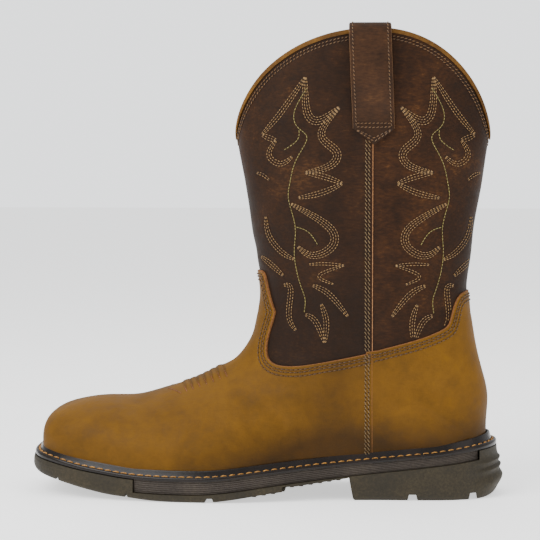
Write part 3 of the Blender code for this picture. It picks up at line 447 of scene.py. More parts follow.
# The hollow between forepart and heel, seen from the side. Columns: along (share of the sole's length),
# height (share of the heel's rise).
ARCH = (
    (0.396, -0.200),
    (0.400, 0.020),
    (0.447, 0.120),
    (0.482, 0.210),
    (0.517, 0.290),
    (0.542, 0.335),
    (0.543, 0.495),
    (0.572, 0.510),
    (0.619, 0.615),
    (0.670, 0.730),
    (0.679, 0.760),
    (0.687, 0.070),
    (0.691, -0.010),
    (0.693, -0.200),
)

# Notches across the tread. Columns: along, width (shares of the sole's length), depth (share of lug depth).
NOTCHES = (
    (0.067, 0.007, 0.75),
    (0.219, 0.006, 0.75),
    (0.393, 0.019, 1.00),
    (0.810, 0.021, 1.35),
    (0.935, 0.017, 1.50),
)

# The rubber's side wall, from the top down. Columns: height (share of the wall), side (out from the welt's
# edge at the sides, share of the toe lip), heel (the same round the heel, share of the heel lip).
WALL_RINGS = (
    (1.000, 0.45, 0.05),
    (0.800, 0.80, 0.24),
    (0.720, 0.90, 0.60),
    (0.630, 0.95, 0.38),
    (0.555, 1.00, 0.74),
    (0.460, 1.00, 0.54),
    (0.300, 1.00, 1.00),
    (0.140, 0.70, 0.50),
    (0.050, 0.00, 0.10),
    (0.000, -1.00, -0.20),
)
RIBS_FROM = 0.935
RIBS_FULL = 0.965
BAND_FROM = 0.2345
BAND_TO = 0.9475

# The welt's section. Columns: inset (share of the shelf), height (share of the welt's height).
WELT_SECTION = (
    (0.00, 0.00),
    (-0.03, 0.18),
    (0.06, 0.36),
    (0.26, 0.38),
    (0.42, 0.26),
    (0.66, 0.74),
    (0.78, 1.00),
    (0.93, 1.00),
    (0.95, 0.00),
)

# The overlay's top edges seen from the side. Columns: along (share of the sole's length from the toe),
# level (as in the sections).
VAMP_EDGE_LOW = (
    (0.7258, 0.775),
    (0.6689, 0.736),
    (0.5947, 0.692),
    (0.5388, 0.678),
    (0.5124, 0.702),
    (0.5032, 0.753),
    (0.5047, 0.838),
    (0.5140, 0.936),
    (0.5207, 1.007),
)
VAMP_EDGE_TAB = (
    (0.5207, 1.007),
    (0.5105, 1.056),
    (0.5019, 1.119),
    (0.4952, 1.147),
    (0.4831, 1.149),
)
COUNTER_EDGE = (
    (0.7258, 0.780),
    (0.8162, 0.853),
    (0.8638, 0.904),
    (0.8829, 0.944),
    (0.8900, 1.005),
    (0.9020, 1.060),
    (0.9176, 1.079),
)

# The pull strap's run, from its point up the outside, over the collar and down inside. Columns: height
# (share of the strap's drop above its point), out (share of its bow; the wall is between -0.2 and 0).
STRAP_RUN = (
    (0.15, 0.00),
    (0.25, 0.06),
    (0.40, 0.52),
    (0.56, 0.92),
    (0.74, 1.00),
    (0.90, 0.90),
    (0.985, 0.46),
    (1.000, -0.12),
    (0.985, -0.70),
    (0.90, -1.05),
    (0.74, -1.10),
    (0.56, -0.98),
    (0.40, -0.62),
    (0.30, -0.20),
    (0.22, -0.10),
    (0.14, -0.10),
)


def smooth(knots, table, at):
    """Natural cubic curves through the rows of a table, read at the places in at."""
    knots = np.asarray(knots, float)
    values = np.asarray(table, float)
    step = np.diff(knots)
    slope = np.diff(values, axis=0) / step[:, None]
    count = len(knots)
    system = np.eye(count)
    right = np.zeros_like(values)
    for i in range(1, count - 1):
        system[i, i - 1 : i + 2] = step[i - 1], 2 * (step[i - 1] + step[i]), step[i]
        right[i] = 6 * (slope[i] - slope[i - 1])
    bend = np.linalg.solve(system, right)
    at = np.atleast_1d(np.asarray(at, float))
    i = np.clip(np.searchsorted(knots, at, side="right") - 1, 0, count - 2)
    wide = step[i][:, None]
    f = ((at - knots[i]) / step[i])[:, None]
    g = 1 - f
    cubic = ((g**3 - g) * bend[i] + (f**3 - f) * bend[i + 1]) * wide**2 / 6
    return g * values[i] + f * values[i + 1] + cubic


@functools.cache
def fine_table(table):
    """A table's rows, smoothed."""
    return smooth(np.arange(len(table)), table, np.linspace(0, len(table) - 1, 20 * len(table)))


def rise(table, x):
    """Height above the ball's level that a table of toe and heel shares gives at x."""
    fine = fine_table(table)
    along = sole_share(np.asarray(x, float))
    toe = np.interp(along, fine[:, 0], fine[:, 1])
    heel = np.interp(along, fine[:, 0], fine[:, 2])
    return TOE_SPRING * np.maximum(toe, 0) + HEEL_RISE * np.maximum(heel, 0)


def seat(x):
    """Height of the midsole's top, which carries the upper and the welt."""
    return STACK_BALL + rise(SEAT, x)


def midsole_bottom(x):
    """Height of the line between midsole and rubber."""
    along = sole_share(np.asarray(x, float))
    heelward = np.clip((along - 0.35) / 0.5, 0, 1)
    return seat(x) - MIDSOLE_BALL - (MIDSOLE_HEEL - MIDSOLE_BALL) * heelward


def level_height(level):
    """Height of a level: 0 the ball's seat, 1 the instep, 2 the collar's peak."""
    level = np.asarray(level, float)
    return STACK_BALL + INSTEP_RISE * np.minimum(level, 1) + SHAFT_RISE * np.maximum(level - 1, 0)


def outline_loop(rows, inset):
    """The welt's edge moved in by inset, which may be a number for each point, as toe, lateral, heel, medial."""
    table = smooth(np.arange(len(OUTLINE)), OUTLINE, rows)
    x = table[:, 0] * WELT_LENGTH + TOE_LIP - HEEL_FROM_TOE
    lateral = np.column_stack((x, -table[:, 1] * BALL_WIDTH / 2))
    medial = np.column_stack((x, table[:, 2] * BALL_WIDTH / 2))
    loop = np.vstack((lateral, medial[-2:0:-1]))
    along = loop_along(loop)
    along /= np.linalg.norm(along, axis=1)[:, None]
    outward = np.column_stack((along[:, 1], -along[:, 0]))
    depth = inset(loop[:, 0]) if callable(inset) else inset
    return loop - outward * np.reshape(depth, (-1, 1))


@functools.cache
def feather_table():
    """The upper's lower edge, finely: rows of the outline, lateral points and medial points."""
    fine = np.linspace(0, CLOSED_ROW, 40 * CLOSED_ROW + 1)
    loop = outline_loop(fine, FEATHER_INSET)
    count = len(fine)
    return fine, loop[:count], np.vstack((loop[:1], loop[: count - 2 : -1]))


def feather(rows):
    """Lateral and medial points of the upper's lower edge at rows of the outline."""
    fine, lateral, medial = feather_table()
    rows = np.clip(rows, 0, CLOSED_ROW)
    sides = []
    for points in (lateral, medial):
        sides.append(np.column_stack([np.interp(rows, fine, points[:, k]) for k in (0, 1)]))
    return sides


def half_section(row, side, share):
    """Points of one section on one side (-1 lateral, 1 medial), share 0 at its foot and 1 on the ridge."""
    table = dict(zip(COLUMNS, smooth([r[0] for r in SECTIONS], SECTIONS, row)[0]))
    lateral, medial = (points[0] for points in feather(np.array([row])))
    widest_lateral, widest_medial = (points[0] for points in feather(np.array([min(row, HEEL_ROW)])))
    foot = medial if side > 0 else lateral
    start = (medial[1] - lateral[1]) / 2
    middle = (medial[1] + lateral[1]) / 2
    bulge = table["medial" if side > 0 else "lateral"] * BALL_WIDTH
    reach = (widest_medial[1] - widest_lateral[1]) / 2 + bulge
    reach += table["shaft"] * (SHAFT_WIDTH / 2 - reach)
    low = np.array((foot[0], seat(foot[0]) + GAP))
    if row > CLOSED_ROW:
        settle = max(1 - (row - CLOSED_ROW) / SETTLE_ROWS, 0)
        seated = low[1] - level_height(SECTIONS[CLOSED_ROW][4])
        low[0] += table["back_x"] * SOLE_LENGTH
        low[1] = level_height(table["back_level"]) + seated * settle
    high = np.array((table["top_x"] * SOLE_LENGTH - HEEL_FROM_TOE, level_height(table["top_level"])))
    if row == 0:
        high = low
    widest, crown, base = table["widest"], table["crown"], table["base"]
    span = widest / (1 - (start / reach) ** base) ** (1 / base) if start > 1e-6 else widest
    up = np.clip((share - widest) / (1 - widest), 0, 1)
    down = np.clip((widest - share) / span, 0, 1)
    width = reach * (1 - up**crown) ** (1 / crown) * (1 - down**base) ** (1 / base)
    blend = share * share * (3 - 2 * share)
    y = middle * (1 - blend) + table["ridge"] * BALL_WIDTH * blend + side * width
    return np.column_stack((low[0] + (high[0] - low[0]) * share, y, low[1] + (high[1] - low[1]) * share))


def column_shares(row, side, back, front):
    """Shares of a section's columns, even along its arc."""
    share = (1 - np.cos(np.pi * np.linspace(0, 1, 121))) / 2
    points = half_section(row, side, share)
    arc = np.concatenate(((0,), np.cumsum(np.linalg.norm(np.diff(points, axis=0), axis=1))))
    arc /= max(arc[-1], 1e-9)
    return np.interp(np.linspace(0, 1, back + front + 1), arc, share)


def collar_level(share):
    """The collar's height round the shaft: a dip at front and back, a peak at each side."""
    across = np.abs(share - COLLAR_PEAK) / np.where(share < COLLAR_PEAK, COLLAR_PEAK, 1 - COLLAR_PEAK)
    climb = np.sqrt(1 - across**COLLAR_POWER + COLLAR_SOFT**2)
    climb = (climb - COLLAR_SOFT) / (math.sqrt(1 + COLLAR_SOFT**2) - COLLAR_SOFT)
    return level_height(2.0) - COLLAR_DIP * (1 - climb)


def upper_surface(foot_rows, ring_rows, collar_rows, back, front):
    """The upper's outer face as rows of points, each from the lateral foot over the ridge to the medial foot."""
    rows = np.concatenate((foot_rows, ring_rows))
    grid = []
    for row in rows:
        halves = []
        for side in (-1, 1):
            halves.append(half_section(row, side, column_shares(row, side, back, front)))
        grid.append(np.vstack((halves[0], halves[1][-2::-1])))
    above = np.linspace(LEVEL_ROW, TOP_ROW, 25)
    columns = []
    for side in (-1, 1):
        share = column_shares(LEVEL_ROW, side, back, front)
        stack = np.array([half_section(row, side, share) for row in above])
        places = []
        for k in range(len(share)):
            target = np.linspace(stack[0, k, 2], collar_level(share[k]), collar_rows + 1)[1:]
            places.append([[np.interp(z, stack[:, k, 2], stack[:, k, a]) for a in (0, 1)] + [z] for z in target])
        columns.append(np.array(places).transpose(1, 0, 2))
    for lateral, medial in zip(*columns):
        grid.append(np.vstack((lateral, medial[-2::-1])))
    return np.array(grid), len(foot_rows) - 1


def level_points(table):
    """World x and z of an edge drawn as (along, level), smoothed between its rows."""
    rows = smooth(np.arange(len(table)), table, np.linspace(0, len(table) - 1, 8 * len(table)))
    return [(a * SOLE_LENGTH - HEEL_FROM_TOE, float(level_height(l))) for a, l in rows]


def welt_height(x):
    """The welt's height: it stands taller round the toe and the heel."""
    ends = np.abs(2 * (x + HEEL_FROM_TOE) / SOLE_LENGTH - 1)
    return WELT_HEIGHT + WELT_FLARE * np.clip((ends - FLARE_FROM) / (1 - FLARE_FROM), 0, 1)


def sole_x(along):
    """World x of a share of the sole's length from the toe."""
    return along * SOLE_LENGTH - HEEL_FROM_TOE


def sole_share(x):
    """Share of the sole's length from the toe at world x."""
    return (x + HEEL_FROM_TOE) / SOLE_LENGTH


def loop_along(points):
    """Which way a closed loop runs at each of its points, not of length one."""
    return np.roll(points, -1, axis=0) - np.roll(points, 1, axis=0)


def nearest(points, spots):
    """Distance of each point from the nearest of the spots."""
    tree = KDTree(len(spots))
    for k, spot in enumerate(spots):
        tree.insert(spot, k)
    tree.balance()
    return np.array([tree.find(p)[2] for p in points])


def unit(vectors):
    """Rows scaled to length one."""
    return vectors / np.maximum(np.linalg.norm(vectors, axis=1, keepdims=True), 1e-12)


def soft_step(value):
    """0 below 0, 1 above 1, and a smooth climb between."""
    t = np.clip(value, 0, 1)
    return t * t * (3 - 2 * t)


class Sheet:
    """A fine skin: points, their outward normals and its faces. It is cut and offset to make each panel."""

    def __init__(self, points, normals, faces):
        self.points = points
        self.normals = normals
        self.faces = faces
        self.cut_edges = []

    def trimmed(self, value):
        """What lies where value is above zero, cut along the line between."""
        keep = value > 0
        points, normals, faces = list(self.points), list(self.normals), []
        added, edges = {}, []

        def crossing(i, j):
            key = (min(i, j), max(i, j))
            if key not in added:
                t = value[i] / (value[i] - value[j])
                added[key] = len(points)
                points.append(self.points[i] + (self.points[j] - self.points[i]) * t)
                normals.append(self.normals[i] + (self.normals[j] - self.normals[i]) * t)
            return added[key]

        for face in self.faces:
            inside = [keep[i] for i in face]
            if all(inside):
                faces.append(face)
            elif any(inside):
                made, ends = [], []
                for i, j in zip(face, face[1:] + face[:1]):
                    if keep[i]:
                        made.append(i)
                    if keep[i] != keep[j]:
                        cut = crossing(i, j)
                        made.append(cut)
                        ends.append((cut, keep[i]))
                faces.append(made)
                if len(ends) == 2:
                    edges.append((ends[0][0], ends[1][0]) if ends[0][1] else (ends[1][0], ends[0][0]))
        used = sorted({i for face in faces for i in face})
        place = {old: new for new, old in enumerate(used)}
        points, normals = np.array(points)[used], unit(np.array(normals)[used])
        sheet = Sheet(points, normals, [[place[i] for i in face] for face in faces])
        sheet.cut_edges = [(place[a], place[b]) for a, b in edges]
        return sheet

    def lines(self, value, at):
        """Lines along which value is the number at, each as rows of point and normal."""
        above = value > at
        segments = {}
        spots = {}
        for face in self.faces:
            inside = [above[i] for i in face]
            if all(inside) or not any(inside):
                continue
            ends = []
            for i, j in zip(face, face[1:] + face[:1]):
                if above[i] != above[j]:
                    key = (min(i, j), max(i, j))
                    if key not in spots:
                        t = (at - value[i]) / (value[j] - value[i])
                        spots[key] = np.concatenate((
                            self.points[i] + (self.points[j] - self.points[i]) * t,
                            self.normals[i] + (self.normals[j] - self.normals[i]) * t,
                        ))
                    ends.append(key)
            for a, b in zip(ends[::2], ends[1::2]):
                segments.setdefault(a, []).append(b)
                segments.setdefault(b, []).append(a)
        return [np.array([spots[key] for key in chain]) for chain in chains(segments)]

    def borders(self):
        """Chains of points along the cut."""
        links = {}
        for a, b in self.cut_edges:
            links.setdefault(a, []).append(b)
            links.setdefault(b, []).append(a)
        return chains(links)

    def away_from(self, spots):
        """Distance of each point from the nearest of the spots."""
        return nearest(self.points, spots)

    def tree(self):
        """The sheet's faces as a tree to cast rays at."""
        return BVHTree.FromPolygons(self.points.tolist(), self.faces)


def chains(links):
    """Walks of linked keys, each from an open end where it has one."""
    left = {key: list(ends) for key, ends in links.items()}
    starts = [key for key, ends in left.items() if len(ends) == 1] + list(left)
    found = []
    for start in starts:
        if not left[start]:
            continue
        walk = [start]
        while left[walk[-1]]:
            here = walk[-1]
            after = left[here].pop()
            left[after].remove(here)
            walk.append(after)
        found.append(walk)
    return found


def side_distance(points, outline):
    """Signed distance, seen from the side, inside an outline of (x, z): positive inside."""
    loop = np.array(outline)
    x, z = points[:, 0], points[:, 2]
    nearest = np.full(len(points), 1e9)
    inside = np.zeros(len(points), bool)
    for (ax, az), (bx, bz) in zip(loop, np.roll(loop, -1, axis=0)):
        dx, dz = bx - ax, bz - az
        length = dx * dx + dz * dz
        if length < 1e-14:
            continue
        t = np.clip(((x - ax) * dx + (z - az) * dz) / length, 0, 1)
        nearest = np.minimum(nearest, np.hypot(x - ax - t * dx, z - az - t * dz))
        if abs(dz) > 1e-12:
            inside ^= ((az > z) != (bz > z)) & (x < ax + (z - az) * dx / dz)
    return np.where(inside, nearest, -nearest)


def sheet_normals(points, faces):
    """Outward normals, weighted by face area."""
    normals = np.zeros_like(points)
    quads = np.array([face if len(face) == 4 else [*face, face[-1]] for face in faces])
    a, b, c, d = (points[quads[:, k]] for k in range(4))
    flow = np.cross(c - a, d - b)
    for k in range(4):
        np.add.at(normals, quads[:, k], flow)
    normals = unit(normals)
    widest = int(np.argmin(points[:, 1]))
    return -normals if normals[widest, 1] > 0 else normals


def fine_rows(first, last, grid):
    """Rows between two rows of the sections, about a grid's size apart where they are furthest apart."""
    shares = np.array([0.0, 0.5, 1.0])
    ends = [half_section(row, side, shares) for row in range(first, last + 1) for side in (-1, 1)]
    rows = []
    for k, row in enumerate(range(first, last)):
        apart = max(np.linalg.norm(ends[2 * k + s] - ends[2 * k + 2 + s], axis=1).max() for s in (0, 1))
        crest = sorted(ends[2 * k + step][-1][0] + HEEL_FROM_TOE for step in (0, 2))
        pleated = crest[0] < PLEAT_TO + PLEAT_REACH / 2 and crest[1] > PLEAT_FROM
        fine = grid * PLEAT_GRID if pleated else grid
        rows.append(np.linspace(row, row + 1, max(2, math.ceil(apart / fine)), endpoint=False))
    return np.concatenate(rows + [[last]])


@functools.cache
def draw_form(coarser):
    """The upper's outer face as a fine sheet, and the loop of its points at the collar."""
    grid_size = GRID * coarser
    foot = fine_rows(0, CLOSED_ROW, grid_size)
    rings = fine_rows(CLOSED_ROW, LEVEL_ROW, grid_size)[1:]
    counts = [round(n / coarser) for n in (COLLAR_STEPS, BACK_FINE, FRONT_FINE)]
    grid, closed = upper_surface(foot, rings, *counts)
    rows, columns = grid.shape[:2]
    index = np.zeros((rows, columns), int)
    points = [grid[0, 0]]
    for r in range(1, rows):
        last = columns - 1 if r >= closed else columns
        for c in range(last):
            index[r, c] = len(points)
            points.append(grid[r, c])
        if r >= closed:
            index[r, columns - 1] = index[r, 0]
    points = np.array(points)
    faces = []
    for r in range(rows - 1):
        for c in range(columns - 1):
            corners = (index[r, c], index[r, c + 1], index[r + 1, c + 1], index[r + 1, c])
            face = list(dict.fromkeys(int(i) for i in corners))
            if len(face) > 2:
                faces.append(face)
    normals = sheet_normals(points, faces)
    return Sheet(points, normals, faces), [int(i) for i in index[-1, :-1]]


def pleat_wave(points):
    """Bug and wrinkle: rolled pleats across the ridge behind the toe, leaning back as they run down."""
    ridge = np.array([half_section(row, 1, np.array([1.0]))[0] for row in np.arange(0, LEVEL_ROW, 0.25)])
    around = nearest(points, ridge)
    along = points[:, 0] + HEEL_FROM_TOE - PLEAT_LEAN * around
    pitch = (PLEAT_TO - PLEAT_FROM) / PLEAT_COUNT
    ends = PLEAT_ENDS * pitch
    window = soft_step((PLEAT_REACH - around) / (PLEAT_FADE * PLEAT_REACH))
    window = window * soft_step((along - PLEAT_FROM + ends) / ends)
    window = window * soft_step((PLEAT_TO + ends - along) / ends)
    return window * (np.abs(np.sin(math.pi * (along - PLEAT_FROM) / pitch)) ** PLEAT_ROUND - PLEAT_SUNK)


def leather_relief(form):
    """How far the leather stands off the plain form: toe pleats, soft creases and the hand's unevenness."""
    x = form.points[:, 0] + HEEL_FROM_TOE
    y, z = form.points[:, 1], form.points[:, 2]
    lift = PLEAT_HEIGHT * pleat_wave(form.points) * (form.normals[:, 2] > 0.2)
    # Main creases, each a soft trough with a low ridge on either side.
    for start_x, start_z, end_x, end_z, side, depth, width in CREASES:
        dx, dz = end_x - start_x, end_z - start_z
        length = math.hypot(dx, dz)
        t = ((x - start_x) * dx + (z - start_z) * dz) / length
        off = ((x - start_x) * dz - (z - start_z) * dx) / length
        off = off + CREASE_BEND * length * np.sin(math.pi * np.clip(t / length, 0, 1))
        fade = CREASE_FADE * length
        ends = soft_step(t / fade) * soft_step((length - t) / fade)
        face = 1.0 if side == 0 else soft_step(0.5 + side * y / CREASE_SIDE)
        u = off / width
        ridge = CREASE_RIDGE * np.exp(-((np.abs(u) - CREASE_RIDGE_AT) ** 2) / CREASE_RIDGE_WIDE)
        lift -= depth * ends * face * (np.exp(-u * u) - ridge)
    # Cut and pulled leather is never quite even.
    for wave_x, wave_y, wave_z, turn, size in UNEVEN:
        lift += size * np.sin(x * wave_x + turn) * np.sin(z * wave_z - turn) * np.cos(y * wave_y + 2 * turn)
    return lift


def add_piece(name, parts, materials, replaced=(), smooth_angle=50):
    """One mesh piece from several (points, faces, material index), riding on the boot."""
    vertices, faces, marks, count = [], [], [], 0
    for points, part_faces, mark in parts:
        vertices.append(np.asarray(points))
        faces += [[i + count for i in face] for face in part_faces]
        marks += [mark] * len(part_faces)
        count += len(points)
    mesh = bpy.data.meshes.new(name)
    mesh.from_pydata(np.vstack(vertices).tolist(), [], faces)
    for material in materials:
        mesh.materials.append(material)
    mesh.polygons.foreach_set("material_index", marks)
    mesh.update()
    mesh.shade_smooth()
    mesh.set_sharp_from_angle(angle=math.radians(smooth_angle))
    piece = bpy.data.objects.new(name, mesh)
    bpy.context.scene.collection.objects.link(piece)
    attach(piece, "root")
    if replaced:
        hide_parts(*replaced)
    return piece


def faced(points, faces):
    """The faces turned so that most of them look away from the part's middle."""
    points = np.asarray(points)
    middle = points.mean(0)
    total = 0.0
    for face in faces:
        a, b, c = (points[face[k]] for k in range(3))
        total += float(np.dot(np.cross(b - a, c - a), a - middle))
    return faces if total > 0 else [face[::-1] for face in faces]


def raw_edge(sheet, thick):
    """The cut edge of a panel as a narrow rounded strip, for each border of the sheet."""
    parts = []
    profile = [(out, share * thick) for out, share in RAW_SECTION] + [(RAW_FOOT, -EDGE_UNDER)]
    inner = {}
    for face in sheet.faces:
        for i in face:
            inner.setdefault(i, []).append(face)
    for chain in sheet.borders():
        if len(chain) < 3:
            continue
        here = sheet.points[chain]
        normal = sheet.normals[chain]
        closed = chain[0] == chain[-1]
        before, after = np.roll(here, 1, axis=0), np.roll(here, -1, axis=0)
        if closed:
            before[0], after[-1] = here[-2], here[1]
        else:
            before[0], after[-1] = here[0], here[-1]
        out = unit(np.cross(after - before, normal))
        middle = len(chain) // 2
        near = np.mean([sheet.points[i] for face in inner[chain[middle]] for i in face], axis=0)
        if np.dot(out[middle], near - here[middle]) > 0:
            out = -out
        rows = [here + out * step + normal * high for step, high in profile]
        count = len(chain)
        faces = []
        for k in range(len(profile) - 1):
            for i in range(count - 1):
                start, above = k * count + i, (k + 1) * count + i
                faces.append([start, start + 1, above + 1, above])
        first = faces[middle]
        strip = np.vstack(rows)
        turn = np.cross(strip[first[1]] - strip[first[0]], strip[first[3]] - strip[first[0]])
        if np.dot(turn, out[middle] + normal[middle]) < 0:
            faces = [face[::-1] for face in faces]
        parts.append((strip, faces))
    return parts


def spaced(line, pitch):
    """Points at even pitch along a line, with their normals and the line's direction."""
    points, normals = line[:, :3], line[:, 3:]
    steps = np.linalg.norm(np.diff(points, axis=0), axis=1)
    arc = np.concatenate(((0,), np.cumsum(steps)))
    count = int(arc[-1] / pitch)
    if count < 1:
        return np.zeros((0, 9))
    at = (np.arange(count) + 0.5) * arc[-1] / count
    place = np.column_stack([np.interp(at, arc, points[:, k]) for k in range(3)])
    normal = unit(np.column_stack([np.interp(at, arc, normals[:, k]) for k in range(3)]))
    ahead = np.column_stack([np.interp(at + pitch / 3, arc, points[:, k]) for k in range(3)])
    behind = np.column_stack([np.interp(at - pitch / 3, arc, points[:, k]) for k in range(3)])
    return np.hstack((place, normal, unit(ahead - behind)))


def thread_mesh(spots, length, radius, slant):
    """Stitches as short raised lengths of thread, each at a spot (point, normal, direction)."""
    turns = np.linspace(0, 2 * math.pi, THREAD_SIDES, endpoint=False) + math.pi / THREAD_SIDES
    template = []
    for share, thick, high in THREAD_SECTION:
        r = thick * radius
        for turn in turns:
            template.append((share * length / 2, math.cos(turn) * r, math.sin(turn) * r + high * radius))
    template = np.array(template)
    if slant:
        template[:, 1] += np.tan(slant) * template[:, 0]
    sides = len(turns)
    faces = []
    for k in range(len(THREAD_SECTION) - 1):
        for i in range(sides):
            j = (i + 1) % sides
            faces.append([k * sides + i, (k + 1) * sides + i, (k + 1) * sides + j, k * sides + j])
    points, normals, along = spots[:, :3], spots[:, 3:6], spots[:, 6:9]
    along = unit(along - normals * np.sum(along * normals, axis=1, keepdims=True))
    across = np.cross(normals, along)
    count = len(template)
    made = (points[:, None, :] + template[None, :, 0:1] * along[:, None, :]
            + template[None, :, 1:2] * across[:, None, :] + template[None, :, 2:3] * normals[:, None, :])
    every = [[i + n * count for i in face] for n in range(len(points)) for face in faces]
    return made.reshape(-1, 3), every


def hole_mesh(spots, pitch, size):
    """Needle holes as small flat dark discs between the stitches: a painted shadow where each hole is."""
    turns = np.linspace(0, 2 * math.pi, HOLE_SIDES, endpoint=False)
    points, normals, along = spots[:, :3], spots[:, 3:6], spots[:, 6:9]
    across = np.cross(normals, along)
    centre = points + along * pitch / 2 + normals * HOLE_LIFT
    ring = (centre[:, None, :] + (np.cos(turns) * size)[None, :, None] * along[:, None, :]
            + (np.sin(turns) * size)[None, :, None] * across[:, None, :])
    faces = [[n * len(turns) + k for k in range(len(turns))] for n in range(len(points))]
    return ring.reshape(-1, 3), faces


@functools.cache
def boot_form():
    """The fine form with its relief, and the collar's loop."""
    form, collar = draw_form(1.0)
    lift = leather_relief(form)
    form.points = form.points + form.normals * lift[:, None]
    form.normals = sheet_normals(form.points, form.faces)
    return form, collar


@functools.cache
def foot_outlines():
    """The vamp's and the counter's outlines, seen from the side."""
    edge = level_points(VAMP_EDGE_LOW)[:-1] + level_points(VAMP_EDGE_TAB)
    front = -HEEL_FROM_TOE - WELT_SHELF
    below = -STACK_BALL
    vamp = [(SEAM_X, below), (SEAM_X, edge[0][1]), *edge[1:], (front, edge[-1][1]), (front, below)]
    edge = level_points(COUNTER_EDGE)
    start = SEAM_X - SEAM_LAP
    counter = [(SOLE_LENGTH, -STACK_BALL), (SOLE_LENGTH, edge[-1][1]), *edge[:0:-1], (start, edge[0][1]),
               (start, -STACK_BALL)]
    return vamp, counter


class Panel:
    """A cut piece of leather laid on the form: its base, its raised face and its points' way to the edges."""

    def __init__(self, outline, thick):
        form, _ = boot_form()
        self.base = form.trimmed(side_distance(form.points, outline))
        spots = self.base.points[sorted({i for edge in self.base.cut_edges for i in edge})]
        at_seam = np.abs(spots[:, 0] - outline[0][0]) < 0.05 * MM
        self.from_top = self.base.away_from(spots[~at_seam])
        from_edge = self.base.away_from(spots)
        rise_in = GAP + thick * (EDGE_SHARE + (1 - EDGE_SHARE) * soft_step(from_edge / EDGE_ROUND))
        raised = self.base.points + self.base.normals * rise_in[:, None]
        self.face = Sheet(raised, self.base.normals, self.base.faces)
        self.edges = raw_edge(self.base, GAP + EDGE_SHARE * thick)


def sink(sheet, rows):
    """Pull a sheet in along rows of stitches, as a tight thread does."""
    off = sheet.away_from(rows[:, :3])
    depth = STITCH_SINK * np.exp(-((off / STITCH_SINK_WIDTH) ** 2))
    sheet.points = sheet.points - sheet.normals * depth[:, None]
    sheet.normals = sheet_normals_like(sheet)


def sheet_normals_like(sheet):
    """The sheet's normals worked out again, kept on the side they were on."""
    normals = np.zeros_like(sheet.points)
    for face in sheet.faces:
        a, b, c = (sheet.points[face[k]] for k in (0, 1, -1))
        flow = np.cross(b - a, c - a)
        for i in face:
            normals[i] += flow
    normals = unit(normals)
    return normals * np.sign(np.sum(normals * sheet.normals, axis=1, keepdims=True) + 1e-9)


def rows_on(sheet, value, at, pitch, keep=None):
    """Stitch places along every line of a sheet where value is the number at."""
    found = [spaced(line, pitch) for line in sheet.lines(value, at) if len(line) > 3]
    spots = np.vstack(found) if found else np.zeros((0, 9))
    if keep is not None and len(spots):
        spots = spots[keep(spots)]
    return spots


@functools.cache
def foot_panels():
    """The vamp and the counter, with their stitch places: along their top edges and along the side seam."""
    vamp_outline, counter_outline = foot_outlines()
    vamp, counter = Panel(vamp_outline, VAMP_THICK), Panel(counter_outline, COUNTER_THICK)
    seam_top = level_points(COUNTER_EDGE)[0][1]

    def before_seam(spots):
        return spots[:, 0] < SEAM_X - SEAM_CLEAR

    def along_top(spots):
        beside = spots[:, 0] < SEAM_X + EDGE_ROWS[-1]
        low = spots[:, 2] < seam_top - EDGE_ROWS[-1] - SEAM_BELOW
        return (np.abs(spots[:, 0] - SEAM_X) > SEAM_CLEAR) & ~(beside & low)

    top = [rows_on(vamp.face, vamp.from_top, inset, EDGE_PITCH, before_seam) for inset in EDGE_ROWS]
    top += [rows_on(counter.face, counter.from_top, inset, EDGE_PITCH, along_top) for inset in EDGE_ROWS]
    seam = [rows_on(vamp.face, vamp.face.points[:, 0], SEAM_X - inset, SEAM_PITCH) for inset in SEAM_ROWS]
    top, seam = np.vstack(top), np.vstack(seam)
    sink(vamp.face, np.vstack((top, seam)))
    sink(counter.face, top)
    return vamp, counter, top, seam


@functools.cache
def shaft_panels():
    """The shaft's front panel, lapped over the back one, and the stitches of its side seam and collar."""
    form, collar = boot_form()
    vamp_outline, counter_outline = foot_outlines()
    x = form.points[:, 0]
    under_vamp = side_distance(form.points, vamp_outline)
    under_counter = side_distance(form.points, counter_outline)
    hidden = np.maximum(under_vamp, under_counter)
    front = form.trimmed(np.minimum(SEAM_X - x, UNDER_LAP - hidden))
    back = form.trimmed(np.minimum(x - SEAM_X + SEAM_LAP, UNDER_LAP - hidden))
    raised = LAP_STEP * soft_step(1 - (SEAM_X - front.points[:, 0]) / LAP_FADE)
    edges = raw_edge(front, LAP_STEP)
    front.points = front.points + front.normals * raised[:, None]
    ring = form.points[collar]
    seam, rim = [], []
    for inset in SEAM_ROWS:
        seam.append(rows_on(front, front.points[:, 0], SEAM_X - inset, SEAM_PITCH,
                            lambda spots: side_distance(spots[:, :3], vamp_outline) < -SEAM_CLEAR))
    for panel in (front, back):
        below = panel.away_from(ring)
        for inset in COLLAR_ROWS_DOWN:
            rim.append(rows_on(panel, below, inset, COLLAR_PITCH))
    return front, back, edges, np.vstack(seam), np.vstack(rim)


def side_curve(points):
    """A smooth curve through places seen from the side, in millimetres from the pull strap and the ground."""
    places = np.array(points, float) * MM
    return smooth(np.arange(len(places)), places, np.linspace(0, len(places) - 1, CURVE_FINE))


